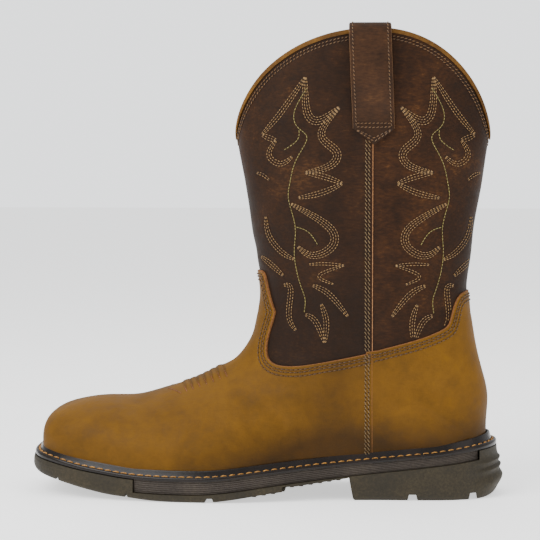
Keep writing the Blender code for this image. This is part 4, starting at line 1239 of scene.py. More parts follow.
@functools.cache
def scroll_rows():
    """Places of the shaft's scroll stitching, on both panels and sides: thread rows and single stems."""
    front, back, _, _, _ = shaft_panels()
    vamp_outline, counter_outline = foot_outlines()
    trees = {"front": front.tree(), "back": back.tree()}
    rows, stems = [], []
    for _, count, points in SCROLLS:
        curve = side_curve(points)
        along = np.gradient(curve, axis=0)
        along /= np.linalg.norm(along, axis=1)[:, None]
        aside = np.column_stack((along[:, 1], -along[:, 0]))
        taper = ROWS_MEET + (1 - ROWS_MEET) * np.sin(np.linspace(0, math.pi, len(curve))) ** 0.5
        for k in range(count):
            offset = (k - (count - 1) / 2) * SCROLL_ROW_GAP
            line = curve + aside * (offset * taper)[:, None]
            for panel, mirror, shift in (("front", 1, 0.0), ("back", -1, SCROLL_BACK_SHIFT)):
                for side in (-1, 1):
                    spots = []
                    for x, z in line:
                        world_x = STRAP_X + (x if mirror > 0 else -x * SCROLL_BACK_WIDTH) + shift
                        beside = Vector((world_x, side * BALL_WIDTH, z))
                        hit = trees[panel].ray_cast(beside, Vector((0, -side, 0)))
                        if hit[0] is None or abs(hit[1].y) < 0.25:
                            continue
                        normal = hit[1] if hit[1].y * side > 0 else -hit[1]
                        spots.append((*hit[0], *normal))
                    if len(spots) > 4:
                        pitch = STEM_PITCH if count == 1 else SCROLL_PITCH
                        (stems if count == 1 else rows).append(spaced(np.array(spots), pitch))
    clear = []
    for spots in (np.vstack(rows), np.vstack(stems)):
        points = spots[:, :3]
        on_foot = np.maximum(side_distance(points, vamp_outline), side_distance(points, counter_outline))
        from_seam = np.abs(points[:, 0] - SEAM_X + SEAM_MIDDLE)
        free = (on_foot < -SCROLL_CLEAR) & (from_seam > SCROLL_SEAM_CLEAR)
        clear.append(spots[free])
    return clear


@functools.cache
def strap_grid(side):
    """A pull strap's middle surface: rows from its point up the outside, over, and down inside."""
    form, _ = boot_form()
    tree = form.tree()
    peak = float(level_height(2.0))
    tip = peak + STRAP_RISE - STRAP_DROP
    top = tip + STRAP_DROP - STRAP_THICK / 2
    limit = peak - STRAP_RISE

    def wall_out(x, z):
        """How far out the shaft's face is at x and z."""
        hit = tree.ray_cast(Vector((x, side * BALL_WIDTH, min(z, limit))), Vector((0, -side, 0)))
        return side * hit[0].y

    knots = np.arange(len(STRAP_RUN))
    run = smooth(knots, STRAP_RUN, np.linspace(0, knots[-1], STRAP_FINE))
    height = tip + (top - tip) * run[:, 0]
    seated = STRAP_SEAT + STRAP_THICK / 2
    through = UPPER_WALL + 2 * STRAP_SEAT + STRAP_THICK
    out = seated + run[:, 1] * STRAP_BOW - np.clip(-run[:, 1] / 0.10, 0, 1) * through
    across = np.linspace(-1, 1, STRAP_ACROSS)
    rows = []
    for share in np.linspace(0, 1, STRAP_POINT_ROWS, endpoint=False):
        low = tip + (height[0] - tip) * share
        rows.append([(low + abs(a) * STRAP_POINT * (1 - share), seated) for a in across])
    rows += [[(height[k], out[k]) for _ in across] for k in range(len(height))]
    grid = np.array([[
        (STRAP_X + STRAP_LEAN * (0.5 - (z - tip) / STRAP_DROP) + a * STRAP_WIDTH / 2, o, z)
        for a, (z, o) in zip(across, row)] for row in rows])
    base = np.array([[wall_out(x, z) for x, _, z in row] for row in grid])
    grid[:, :, 1] = side * (base + grid[:, :, 1])
    forward = np.gradient(grid, axis=0)
    sideways = np.gradient(grid, axis=1)
    normals = np.cross(sideways, forward)
    normals /= np.linalg.norm(normals, axis=2, keepdims=True)
    if normals[STRAP_POINT_ROWS, STRAP_ACROSS // 2, 1] * side < 0:
        normals = -normals
    return grid, normals


def strap_lines(side):
    """Stitch places on a pull strap: along both edges, across its foot and round its point."""
    grid, normals = strap_grid(side)
    outer = grid + normals * STRAP_THICK / 2
    last = STRAP_ACROSS - 1
    found = []

    def line(rows, columns):
        r0, c0 = np.floor(rows).astype(int), np.floor(columns).astype(int)
        r1, c1 = np.minimum(r0 + 1, len(grid) - 1), np.minimum(c0 + 1, last)
        fr, fc = (rows - r0)[:, None], (columns - c0)[:, None]
        both = []
        for data in (outer, normals):
            low = data[r0, c0] * (1 - fc) + data[r0, c1] * fc
            high = data[r1, c0] * (1 - fc) + data[r1, c1] * fc
            both.append(low * (1 - fr) + high * fr)
        return np.hstack(both)

    inset = STRAP_ROW_INSET / STRAP_WIDTH * last
    run = np.arange(STRAP_POINT_ROWS, len(grid) - 1.01, 0.5)
    for column in (inset, last - inset):
        found.append(spaced(line(run, np.full(len(run), column)), STRAP_PITCH))
    wide = np.linspace(inset, last - inset, 80)
    level_rows = (STRAP_POINT_ROWS - 0.5, STRAP_POINT_ROWS + 2.5)
    for row in (*level_rows, 0.2 * STRAP_POINT_ROWS, 0.4 * STRAP_POINT_ROWS):
        found.append(spaced(line(np.full(len(wide), float(row)), wide), STRAP_PITCH))
    return np.vstack(found)


def loop_rows(step):
    """Rows of the outline, step apart."""
    return np.linspace(0, CLOSED_ROW, int(round(CLOSED_ROW / step)) + 1)


def ring_faces(rings, count, close=False):
    """Quads between rings of points, and back to the first ring where close."""
    faces = []
    for k in range(rings if close else rings - 1):
        n = (k + 1) % rings
        for i in range(count):
            j = (i + 1) % count
            faces.append([k * count + i, k * count + j, n * count + j, n * count + i])
    return faces


def cap_faces(base, count, half):
    """Quads across a ring, from its lateral side to its medial side."""
    faces = []
    for i in range(half - 1):
        corners = [base + i, base + i + 1, base + (count - i - 1) % count, base + (count - i) % count]
        faces.append(list(dict.fromkeys(corners)))
    return faces


def sole_stack(rings, rows):
    """A closed solid between rings round the sole, each (inset, height) as numbers or functions of x."""
    points = []
    for inset, height in rings:
        loop = outline_loop(rows, inset)
        z = height(loop[:, 0]) if callable(height) else np.full(len(loop), height)
        points.append(np.column_stack((loop, z)))
    count = len(points[0])
    faces = ring_faces(len(points), count)
    faces += cap_faces(0, count, len(rows)) + cap_faces((len(points) - 1) * count, count, len(rows))
    return np.vstack(points), faces


def scratch_solid(name, points, faces):
    """A closed solid that only shapes another one."""
    mesh = bpy.data.meshes.new(name)
    mesh.from_pydata(np.asarray(points).tolist(), [], faces)
    shape = bmesh.new()
    shape.from_mesh(mesh)
    bmesh.ops.recalc_face_normals(shape, faces=shape.faces)
    shape.to_mesh(mesh)
    shape.free()
    solid = bpy.data.objects.new(name, mesh)
    bpy.context.scene.collection.objects.link(solid)
    return solid


def across_prism(profile, near, far):
    """Points and faces of an XZ profile drawn along Y."""
    count = len(profile)
    points = [(x, near, z) for x, z in profile] + [(x, far, z) for x, z in profile]
    faces = [list(range(count)), list(range(2 * count - 1, count - 1, -1))]
    faces += [[i, (i + 1) % count, (i + 1) % count + count, i + count] for i in range(count)]
    return points, faces


def together(shapes):
    """Several (points, faces) as one."""
    points, faces = [], []
    for shape_points, shape_faces in shapes:
        faces += [[i + len(points) for i in face] for face in shape_faces]
        points += [tuple(p) for p in shape_points]
    return points, faces


def cut_away(solid, name, shapes, operation="DIFFERENCE"):
    """Cut shapes out of a solid, or join them to it."""
    other = scratch_solid(name, *together(shapes))
    modifier = solid.modifiers.new(name, "BOOLEAN")
    modifier.operation = operation
    modifier.solver = "MANIFOLD"
    modifier.object = other
    return other


def outsole_solid():
    """The rubber unit's mesh: side wall with heel ribs, bumper, arch, lugs and arch steps."""
    def bottom(x):
        return rise(UNDERSIDE, x)

    walls = smooth(np.arange(len(WALL_RINGS)), WALL_RINGS, np.linspace(0, len(WALL_RINGS) - 1, WALL_FINE))
    rings = []
    for height, side, heel in walls:
        def inset(x, side=side, heel=heel):
            along = sole_share(x)
            ribbed = np.clip((along - RIBS_FROM) / (RIBS_FULL - RIBS_FROM), 0, 1)
            return -(side * TOE_LIP * (1 - ribbed) + heel * HEEL_LIP * ribbed)

        def level(x, height=height):
            return bottom(x) + (seat(x) - GAP - bottom(x)) * np.clip(height, 0, 1)

        rings.append((inset, level))
    rows = loop_rows(SOLE_STEP)
    solid = scratch_solid("outsole_rubber", *sole_stack(rings, rows))

    def core_bottom(x):
        return midsole_bottom(x) - GAP

    core_top = STACK_BALL + TOE_SPRING + HEEL_RISE
    wide = (-BALL_WIDTH, BALL_WIDTH)
    core = sole_stack(((BUMPER_WALL - GAP, core_top), (BUMPER_WALL - GAP, core_bottom)), rows)
    scratch = [cut_away(solid, "core_form", [core])]
    stations = np.linspace(sole_x(BAND_FROM) - GAP, sole_x(BAND_TO) + GAP, 60)
    high = core_top + WELT_HEIGHT
    band = [(float(x), float(core_bottom(x))) for x in stations]
    band += [(stations[-1], high), (stations[0], high)]
    scratch.append(cut_away(solid, "band_form", [across_prism(band, *wide)]))
    arch = [(sole_x(along), height * HEEL_RISE) for along, height in ARCH]
    scratch.append(cut_away(solid, "arch_form", [across_prism(arch, *wide)]))
    fine = loop_rows(0.1)
    loop = outline_loop(fine, LUG_RIM)
    lateral, medial = loop[: len(fine)], loop[: len(fine) - 2 : -1]
    grooves = []

    def groove(along, width, depth, reach):
        x, deep = sole_x(along), depth * LUG_DEPTH
        low, high = (float(rise(UNDERSIDE, x + s * width / 2)) for s in (-1, 1))
        narrow = TAPER * width / 2
        grooves.append(across_prism([(x - width / 2, low - LUG_DEPTH), (x + width / 2, high - LUG_DEPTH),
                                     (x + width / 2, high), (x + narrow, high + deep), (x - narrow, low + deep),
                                     (x - width / 2, low)], *reach))

    for along, width, depth in NOTCHES:
        groove(along, width * SOLE_LENGTH, depth, wide)
    pitch = LUG_PITCH / SOLE_LENGTH
    for start, end in ((TREAD_FROM, ARCH[1][0]), (ARCH[-2][0] + pitch, TREAD_TO)):
        for along in np.arange(start, end, pitch):
            if min(abs(along - other) for other, _, _ in NOTCHES) > 0.75 * pitch:
                x = sole_x(along)
                groove(along, LUG_GROOVE, 1, (float(np.interp(x, lateral[:, 0], lateral[:, 1])),
                                              float(np.interp(x, medial[:, 0], medial[:, 1]))))
    scratch.append(cut_away(solid, "groove_forms", grooves))
    steps = []
    for along in np.arange(ARCH_STEPS_FROM, ARCH_STEPS_TO, ARCH_STEP_PITCH / SOLE_LENGTH):
        x = sole_x(along)
        z = HEEL_RISE * float(np.interp(along, [a for a, _ in ARCH[:-3]], [h for _, h in ARCH[:-3]]))
        half, deep = ARCH_STEP_HALF * ARCH_STEP_PITCH, ARCH_STEP_DEEP
        near = float(np.interp(x, lateral[:, 0], lateral[:, 1])) - LUG_RIM + ARCH_STEP_IN
        far = float(np.interp(x, medial[:, 0], medial[:, 1])) + LUG_RIM - ARCH_STEP_IN
        foot = TAPER * half
        places = [(x - half, z + deep), (x + half, z + 2 * deep), (x + half, z), (x + foot, z - deep),
                  (x - foot, z - deep), (x - half, z)]
        steps.append(across_prism(places, near, far))
    scratch.append(cut_away(solid, "arch_step_forms", steps, "UNION"))
    graph = bpy.context.evaluated_depsgraph_get()
    mesh = bpy.data.meshes.new_from_object(solid.evaluated_get(graph))
    points = np.array([v.co for v in mesh.vertices])
    faces = [list(polygon.vertices) for polygon in mesh.polygons]
    for other in [*scratch, solid]:
        bpy.data.objects.remove(other)
    return points, faces


def hex_colour(code):
    """An sRGB hex colour as linear numbers."""
    values = [int(code[i:i + 2], 16) / 255 for i in (1, 3, 5)]
    return tuple(v / 12.92 if v <= 0.04045 else ((v + 0.055) / 1.055) ** 2.4 for v in values)


def add_node(tree, kind, sockets=None, **settings):
    """A node with its settings, and its sockets set to values or linked from other nodes' outputs."""
    node = tree.nodes.new(kind)
    for name, value in settings.items():
        setattr(node, name, value)
    for name, value in (sockets or {}).items():
        socket = node.inputs[name]
        if isinstance(value, bpy.types.NodeSocket):
            tree.links.new(value, socket)
        else:
            socket.default_value = value
    return node


def new_material(name, **shader_values):
    """An empty Principled material, its tree, its shader and the object's own coordinates in metres."""
    material = bpy.data.materials.new(name)
    material.use_nodes = True
    tree = material.node_tree
    shader = tree.nodes["Principled BSDF"]
    for socket, value in shader_values.items():
        shader.inputs[socket.replace("_", " ")].default_value = value
    where = add_node(tree, "ShaderNodeTexCoord").outputs["Object"]
    return material, tree, shader, where


def colour_steps(tree, value, stops, tint=(1.0, 1.0, 1.0)):
    """A colour ramp over a value, from (place, hex colour) stops, each multiplied by a tint."""
    ramp = add_node(tree, "ShaderNodeValToRGB", {"Fac": value})
    elements = ramp.color_ramp.elements
    while len(elements) < len(stops):
        elements.new(0.5)
    for element, (place, code) in zip(elements, stops):
        element.position = place
        element.color = (*(c * t for c, t in zip(hex_colour(code), tint)), 1)
    return ramp.outputs["Color"]


def blended(tree, share, first, second):
    """Two values mixed by a share."""
    sockets = {"Factor": share, "A": first, "B": second}
    return add_node(tree, "ShaderNodeMix", sockets, data_type="FLOAT").outputs["Result"]


def finish_surface(tree, shader, colour, height, strength, depth):
    """Join a colour and a bump of some strength and depth to the shader; gives the bump back."""
    bump = add_node(tree, "ShaderNodeBump", {"Height": height, "Strength": strength, "Distance": depth})
    tree.links.new(colour, shader.inputs["Base Color"])
    tree.links.new(bump.outputs["Normal"], shader.inputs["Normal"])
    return bump


def oiled_leather(name, tint, colours, shade_colours, pores, streaks, spread=1.0):
    """Full-grain cowhide, drum-dyed and waxed. It lightens in cloudy patches where it has been pulled, and has a
    brushed nap of fine streaks and small pores. Painted shade: it takes darker shade colours where the point
    attribute burnish is high."""
    material, tree, shader, where = new_material(name, Specular_IOR_Level=0.13)
    cloud = add_node(tree, "ShaderNodeTexNoise", {
        "Vector": where, "Scale": 1 / (38 * MM), "Detail": 3.0, "Roughness": 0.55, "Distortion": 0.4,
    }).outputs["Fac"]
    mottle = add_node(tree, "ShaderNodeTexNoise", {
        "Vector": where, "Scale": 1 / (7 * MM), "Detail": 5.0, "Roughness": 0.65,
    }).outputs["Fac"]
    lean = add_node(tree, "ShaderNodeMapping", {
        "Vector": where, "Rotation": (0.0, NAP_LEAN, 0.0), "Scale": (NAP_STRETCH, 1.0, 1.0),
    }).outputs["Vector"]
    streak = add_node(tree, "ShaderNodeTexNoise", {
        "Vector": lean, "Scale": 1 / (1.1 * MM), "Detail": 3.0, "Roughness": 0.6,
    }).outputs["Fac"]
    tone = blended(tree, streaks, blended(tree, 0.4, cloud, mottle), streak)
    places = [0.5 + spread * place for place in (-0.14, -0.03, 0.07, 0.19)]
    dyed = colour_steps(tree, tone, list(zip(places, colours)), tint)
    # Painted shade: the share of the darker shade colours at each point.
    shade_share = add_node(tree, "ShaderNodeAttribute", attribute_name="burnish").outputs["Fac"]
    dark = colour_steps(tree, tone, list(zip((0.3, 0.7), shade_colours)), tint)
    mixed = add_node(tree, "ShaderNodeMix", {"Factor": shade_share, "A": dyed, "B": dark}, data_type="RGBA")
    gloss = add_node(tree, "ShaderNodeMapRange", {
        "Value": mottle, "From Min": 0.3, "From Max": 0.7, "To Min": 0.50, "To Max": 0.66,
    }).outputs["Result"]
    tree.links.new(gloss, shader.inputs["Roughness"])
    pore = add_node(tree, "ShaderNodeTexVoronoi", {
        "Vector": where, "Scale": 1 / (1.3 * MM),
    }).outputs["Distance"]
    grain = blended(tree, pores, streak, pore)
    fine = add_node(tree, "ShaderNodeBump", {"Height": grain, "Strength": 0.32, "Distance": 0.25 * MM})
    broad = finish_surface(tree, shader, mixed.outputs["Result"], mottle, 0.35, 0.9 * MM)
    tree.links.new(fine.outputs["Normal"], broad.inputs["Normal"])
    return material


def fibrous(name, tint, light, dark, roughness, size, detail, places, strength, depth):
    """One noise of a real size that drives both the colour and the bump, for cut edges and threads."""
    material, tree, shader, where = new_material(name, Roughness=roughness)
    noise = add_node(tree, "ShaderNodeTexNoise", {
        "Vector": where, "Scale": 1 / size, "Detail": detail,
    }).outputs["Fac"]
    colour = colour_steps(tree, noise, list(zip(places, (dark, light))), tint)
    finish_surface(tree, shader, colour, noise, strength, depth)
    return material


def cut_leather(name, tint, light, dark):
    """A sliced edge of dyed leather: its pale fibres show, matte, in short uneven bands."""
    return fibrous(name, tint, light, dark, 0.78, 1.2 * MM, 4.0, (0.35, 0.65), 0.4, 0.2 * MM)


def sewing_thread(name, tint, light, dark):
    """Bonded polyester thread: a slight shine on each twist, and a tone that varies along it."""
    return fibrous(name, tint, light, dark, 0.5, 0.8 * MM, 2.0, (0.35, 0.62), 0.5, 0.15 * MM)


def moulded_rubber(name, tint, colours, roughness, pebble, bump_strength, bump_depth):
    """Moulded rubber: a pebbled or satin skin with pale specks of filler, and a soft uneven sheen."""
    material, tree, shader, where = new_material(name, Specular_IOR_Level=0.25)
    cell = add_node(tree, "ShaderNodeTexVoronoi", {"Vector": where, "Scale": 1 / pebble}).outputs["Distance"]
    speck = add_node(tree, "ShaderNodeTexNoise", {
        "Vector": where, "Scale": 1 / (1.6 * MM), "Detail": 5.0, "Roughness": 0.7,
    }).outputs["Fac"]
    smear = add_node(tree, "ShaderNodeTexNoise", {
        "Vector": where, "Scale": 1 / (22 * MM), "Detail": 2.0,
    }).outputs["Fac"]
    tone = blended(tree, 0.35, speck, smear)
    gloss = add_node(tree, "ShaderNodeMapRange", {
        "Value": smear, "From Min": 0.3, "From Max": 0.7, "To Min": roughness - 0.05, "To Max": roughness + 0.06,
    }).outputs["Result"]
    tree.links.new(gloss, shader.inputs["Roughness"])
    colour = colour_steps(tree, tone, list(zip((0.36, 0.5, 0.66), colours)), tint)
    finish_surface(tree, shader, colour, cell, bump_strength, bump_depth)
    return material


def woven_lining(name, light, dark, spacing):
    """Brushed lining: a plain weave that shows as a fine grid, matte and pale."""
    material, tree, shader, where = new_material(name, Roughness=0.9)
    threads = {"Vector": where, "Scale": 1 / (6.28 * spacing)}
    warp = add_node(tree, "ShaderNodeTexWave", threads, bands_direction="X").outputs["Fac"]
    weft = add_node(tree, "ShaderNodeTexWave", threads, bands_direction="Z").outputs["Fac"]
    weave = blended(tree, 0.5, warp, weft)
    blot = add_node(tree, "ShaderNodeTexNoise", {
        "Vector": where, "Scale": 1 / (12 * MM), "Detail": 4.0,
    }).outputs["Fac"]
    colour = colour_steps(tree, blended(tree, 0.3, blot, weave), ((0.3, dark), (0.7, light)))
    finish_surface(tree, shader, colour, weave, 0.35, 0.25 * MM)
    return material


def clouded(name, dark, light, size, detail, **shader_values):
    """A plain matte surface with a trace of cloud."""
    material, tree, shader, where = new_material(name, **shader_values)
    cloud = add_node(tree, "ShaderNodeTexNoise", {
        "Vector": where, "Scale": 1 / size, "Detail": detail,
    }).outputs["Fac"]
    tree.links.new(colour_steps(tree, cloud, ((0.3, dark), (0.7, light))), shader.inputs["Base Color"])
    return material


@functools.cache
def finishes():
    """Every finish on the boot, by the piece it is for."""
    tints = bpy.context.scene.boot_colours
    shaft, foot, rubber, thread = (tuple(tint) for tint in (
        tints.shaft_tint, tints.foot_tint, tints.rubber_tint, tints.thread_tint))
    # Each leather: use, name, tint, dye colours, painted shade colours, pores, streaks and spread.
    leathers = (
        ("shaft", "waxed_cowhide_dark", shaft, ("#190b02", "#271405", "#361e0a", "#5e3c1c"),
         ("#120802", "#1c0e04"), 0.3, 0.34, 1.0),
        ("foot", "waxed_cowhide_tan", foot, ("#4a3005", "#5e3e06", "#6d490a", "#825c10"),
         ("#261702", "#402805"), 0.55, 0.12, 1.7),
        ("strap", "waxed_cowhide_strap", shaft, ("#1e1006", "#2c1a0c", "#382211", "#4e341d"),
         ("#120a03", "#1c1006"), 0.3, 0.34, 1.0),
        ("binding", "folded_kidskin_tan", foot, ("#3e280d", "#523510", "#644418", "#7a5626"),
         ("#4a2f14", "#6b4519"), 0.6, 0.2, 1.0),
    )
    edges = (
        ("foot_edge", "cut_cowhide_orange", foot, "#7e4c18", "#58330d"),
        ("seam_edge", "cut_cowhide_pale", shaft, "#a87446", "#7c5230"),
        ("strap_edge", "cut_cowhide_brown", shaft, "#7c5428", "#523515"),
    )
    rubbers = (
        ("welt", "glossy_rubber_welt", rubber, ("#0b0705", "#130c08", "#1e140e"), 0.26, 2.2 * MM, 0.1, 0.15 * MM),
        ("midsole", "lined_rubber_midsole", rubber, ("#2c2621", "#38312b", "#463e36"), 0.55, 1.4 * MM, 0.18,
         0.2 * MM),
        ("outsole", "pebbled_rubber_outsole", rubber, ("#1f1a10", "#292316", "#383020"), 0.62, 1.3 * MM, 0.5,
         0.3 * MM),
    )
    threads = (
        ("welt_thread", "waxed_thread_orange", thread, "#b07c30", "#6e4617"),
        ("pale_thread", "bonded_thread_tan", thread, "#94713f", "#5b4222"),
        ("seam_thread", "bonded_thread_sand", thread, "#7c6540", "#493619"),
        ("brown_thread", "bonded_thread_brown", thread, "#6d4c26", "#3e2912"),
        ("foot_thread", "bonded_thread_amber", thread, "#4e3110", "#2c1a06"),
        ("stem_thread", "bonded_thread_olive", thread, "#87793c", "#544a20"),
        ("pleat_thread", "bonded_thread_russet", thread, "#84492a", "#4f2814"),
    )
    made = {}
    for make, rows in ((oiled_leather, leathers), (cut_leather, edges), (moulded_rubber, rubbers),
                       (sewing_thread, threads)):
        for use, *values in rows:
            made[use] = make(*values)
    made["lining"] = woven_lining("brushed_twill_lining", "#b79a70", "#94764c", 0.9 * MM)
    made["footbed"] = woven_lining("knitted_footbed", "#5a4c3c", "#40352a", 1.2 * MM)
    # The shadow in a needle hole.
    made["hole"] = clouded("needle_hole_shadow", "#140b06", "#24150c", 3 * MM, 2.0, Roughness=0.95)
    # Matte white paper with a trace of tooth, lit through from below as on a product table.
    made["paper"] = clouded("white_studio_paper", "#f4f4f3", "#f7f7f6", 60 * MM, 3.0, Roughness=0.9,
                            Emission_Color=(1.0, 1.0, 1.0, 1.0), Emission_Strength=PAPER_GLOW)
    return made


def set_painted_shade(piece, darkness):
    """Give a piece's points how far painted shade darkens the leather there, 0 to 1."""
    points = np.array([v.co for v in piece.data.vertices])
    values = np.clip(darkness(points), 0, 1).astype(np.float32)
    piece.data.attributes.new("burnish", "FLOAT", "POINT").data.foreach_set("value", values)


def sizes():
    """The scene's own sizes."""
    return bpy.context.scene.boot_stitching


class BootStitching(bpy.types.PropertyGroup):
    """Threads and lines that a user would change."""

    welt_pitch: FloatProperty(
        name="Welt stitch", description="From one welt stitch to the next", default=5.5 * MM, min=3 * MM,
        unit="LENGTH")
    welt_thread: FloatProperty(
        name="Welt thread", description="Radius of the welt's thread", default=0.68 * MM, min=0.2 * MM,
        unit="LENGTH")
    fine_thread: FloatProperty(
        name="Fine thread", description="Radius of the shaft's thread", default=0.23 * MM, min=0.1 * MM,
        unit="LENGTH")
    seam_thread: FloatProperty(
        name="Seam thread", description="Radius of the seams' thread", default=0.36 * MM, min=0.1 * MM,
        unit="LENGTH")
    midsole_lines: IntProperty(
        name="Midsole lines", description="Moulded lines down the midsole band", default=6, min=2)


class BootColours(bpy.types.PropertyGroup):
    """Tints over the dyes, white for the photographed boot."""

    shaft_tint: FloatVectorProperty(
        name="Shaft tint", description="Multiplies the shaft's and straps' dye", subtype="COLOR",
        default=(1.0, 1.0, 1.0), min=0, soft_max=1)
    foot_tint: FloatVectorProperty(
        name="Foot tint", description="Multiplies the vamp's, counter's and binding's dye", subtype="COLOR",
        default=(1.0, 1.0, 1.0), min=0, soft_max=1)
    rubber_tint: FloatVectorProperty(
        name="Rubber tint", description="Multiplies the welt's and sole's colour", subtype="COLOR",
        default=(1.0, 1.0, 1.0), min=0, soft_max=1)
    thread_tint: FloatVectorProperty(
        name="Thread tint", description="Multiplies every thread's colour", subtype="COLOR",
        default=(1.0, 1.0, 1.0), min=0, soft_max=1)


class BootLight(bpy.types.PropertyGroup):
    """Light and paper of the stage."""

    key_power: FloatProperty(
        name="Key light", description="Power of the softbox at the toe's side", default=16.0, min=0, unit="POWER")
    fill_power: FloatProperty(
        name="Fill light", description="Power of the softbox at the heel's side", default=3.0, min=0, unit="POWER")
    top_power: FloatProperty(
        name="Top light", description="Power of the softbox overhead", default=7.0, min=0, unit="POWER")


def shaft_painted_shade(points):
    """Painted shade on the shaft: it is darker on its front panel, towards the back, low down and beside the seam.
    """
    x, z = points[:, 0], points[:, 2]
    low_from = SHADE_LOW_UNDER * float(level_height(2.0))
    front = SHADE_PANEL * soft_step((SEAM_X - x) / SHADE_PANEL_EDGE)
    back = SHADE_PANEL * soft_step((x - SEAM_X - SHADE_BACK_FROM) / SHADE_FADE)
    low = SHADE_LOW * soft_step(1 - (z - low_from) / SHADE_FADE)
    seam = SHADE_SEAM_DARK * np.exp(-(((x - SEAM_X + SEAM_MIDDLE) / SHADE_SEAM) ** 2))
    return np.maximum(front + back + low, seam)


def foot_painted_shade(points):
    """Painted shade on the foot: it is darker down at the welt, before the side seam and in the pleats' valleys.
    """
    x, z = points[:, 0], points[:, 2]
    low = soft_step(1 - (z - seat(x)) / SHADE_WELT)
    low = low * (0.5 + 0.5 * soft_step((x - SHADE_TOE_X) / SHADE_TOE_FADE))
    quarter = SHADE_QUARTER_DARK * np.exp(-(((x - SEAM_X + SHADE_QUARTER) / SHADE_QUARTER_WIDE) ** 2))
    return low + quarter + PLEAT_SHADE * np.clip(-pleat_wave(points), 0, 1)


class BOOT_OT_shaft(bpy.types.Operator):
    """Shaft panels, their side seams' cut edges and the lining"""

    bl_idname = "boot.shaft"
    bl_label = "Shaft"

    def execute(self, context):
        look = finishes()
        front, back, edges, seam, rim = shaft_panels()
        stems = scroll_rows()
        sink(front, np.vstack((seam, rim, *stems)))
        sink(back, np.vstack((rim, *stems)))
        lining, _ = draw_form(LINING_COARSER)
        inner = lining.points - lining.normals * UPPER_WALL
        parts = [(front.points, front.faces, 0), (back.points, back.faces, 0)]
        parts += [(points, faces, 1) for points, faces in edges]
        parts.append((inner, [face[::-1] for face in lining.faces], 2))
        materials = [look["shaft"], look["seam_edge"], look["lining"]]
        piece = add_piece("shaft", parts, materials, ["upper"])
        # Painted shade darkens the shaft's front panel, its back, its lower part and the leather beside the side
        # seam.
        set_painted_shade(piece, shaft_painted_shade)
        return {"FINISHED"}


class BOOT_OT_foot(bpy.types.Operator):
    """Vamp with its bug and wrinkle, and heel counter"""

    bl_idname = "boot.foot"
    bl_label = "Vamp and counter"

    def execute(self, context):
        look = finishes()
        vamp, counter, _, _ = foot_panels()
        for name, panel, node in (("vamp_leather", vamp, "vamp"), ("heel_counter", counter, "counter")):
            parts = [(panel.face.points, panel.face.faces, 0)]
            parts += [(points, faces, 1) for points, faces in panel.edges]
            piece = add_piece(name, parts, [look["foot"], look["foot_edge"]], [node])
            # Painted shade darkens the vamp and counter at the welt, before the side seam and in the pleats'
            # valleys.
            set_painted_shade(piece, foot_painted_shade)
        return {"FINISHED"}


class BOOT_OT_binding(bpy.types.Operator):
    """Folded leather binding round the collar"""

    bl_idname = "boot.binding"
    bl_label = "Collar binding"

    def execute(self, context):
        form, collar = boot_form()
        edge, normals = form.points[collar], form.normals[collar]
        along = loop_along(edge)
        up = unit(np.cross(along, normals))
        up *= np.sign(np.sum(up[:, 2]))
        clear = GAP + 0.1 * MM
        outer, inner = clear + BINDING_THICK, -UPPER_WALL - clear - BINDING_THICK
        middle, reach = (outer + inner) / 2, (outer - inner) / 2
        shown, hidden, side, rise_by = -BINDING_SHOWN, -BINDING_DEPTH, *BINDING_ROUND
        section = [(clear, shown), (outer - side, shown), (outer, shown + rise_by)]
        for turn in np.linspace(0, math.pi, BINDING_TURNS):
            section.append((middle + reach * math.cos(turn), clear + BINDING_CROWN * reach * math.sin(turn)))
        section += [(inner, hidden + rise_by), (inner + side, hidden), (-UPPER_WALL - clear, hidden)]
        points = np.vstack([edge + normals * out + up * high for out, high in section])
        faces = ring_faces(len(section), len(edge))
        parts = [(points, faced(points, faces), 0)]
        piece = add_piece("collar_binding_leather", parts, [finishes()["binding"]],
                          ["collar_binding"])
        # The binding gets no painted shade.
        set_painted_shade(piece, lambda points: np.zeros(len(points)))
        return {"FINISHED"}


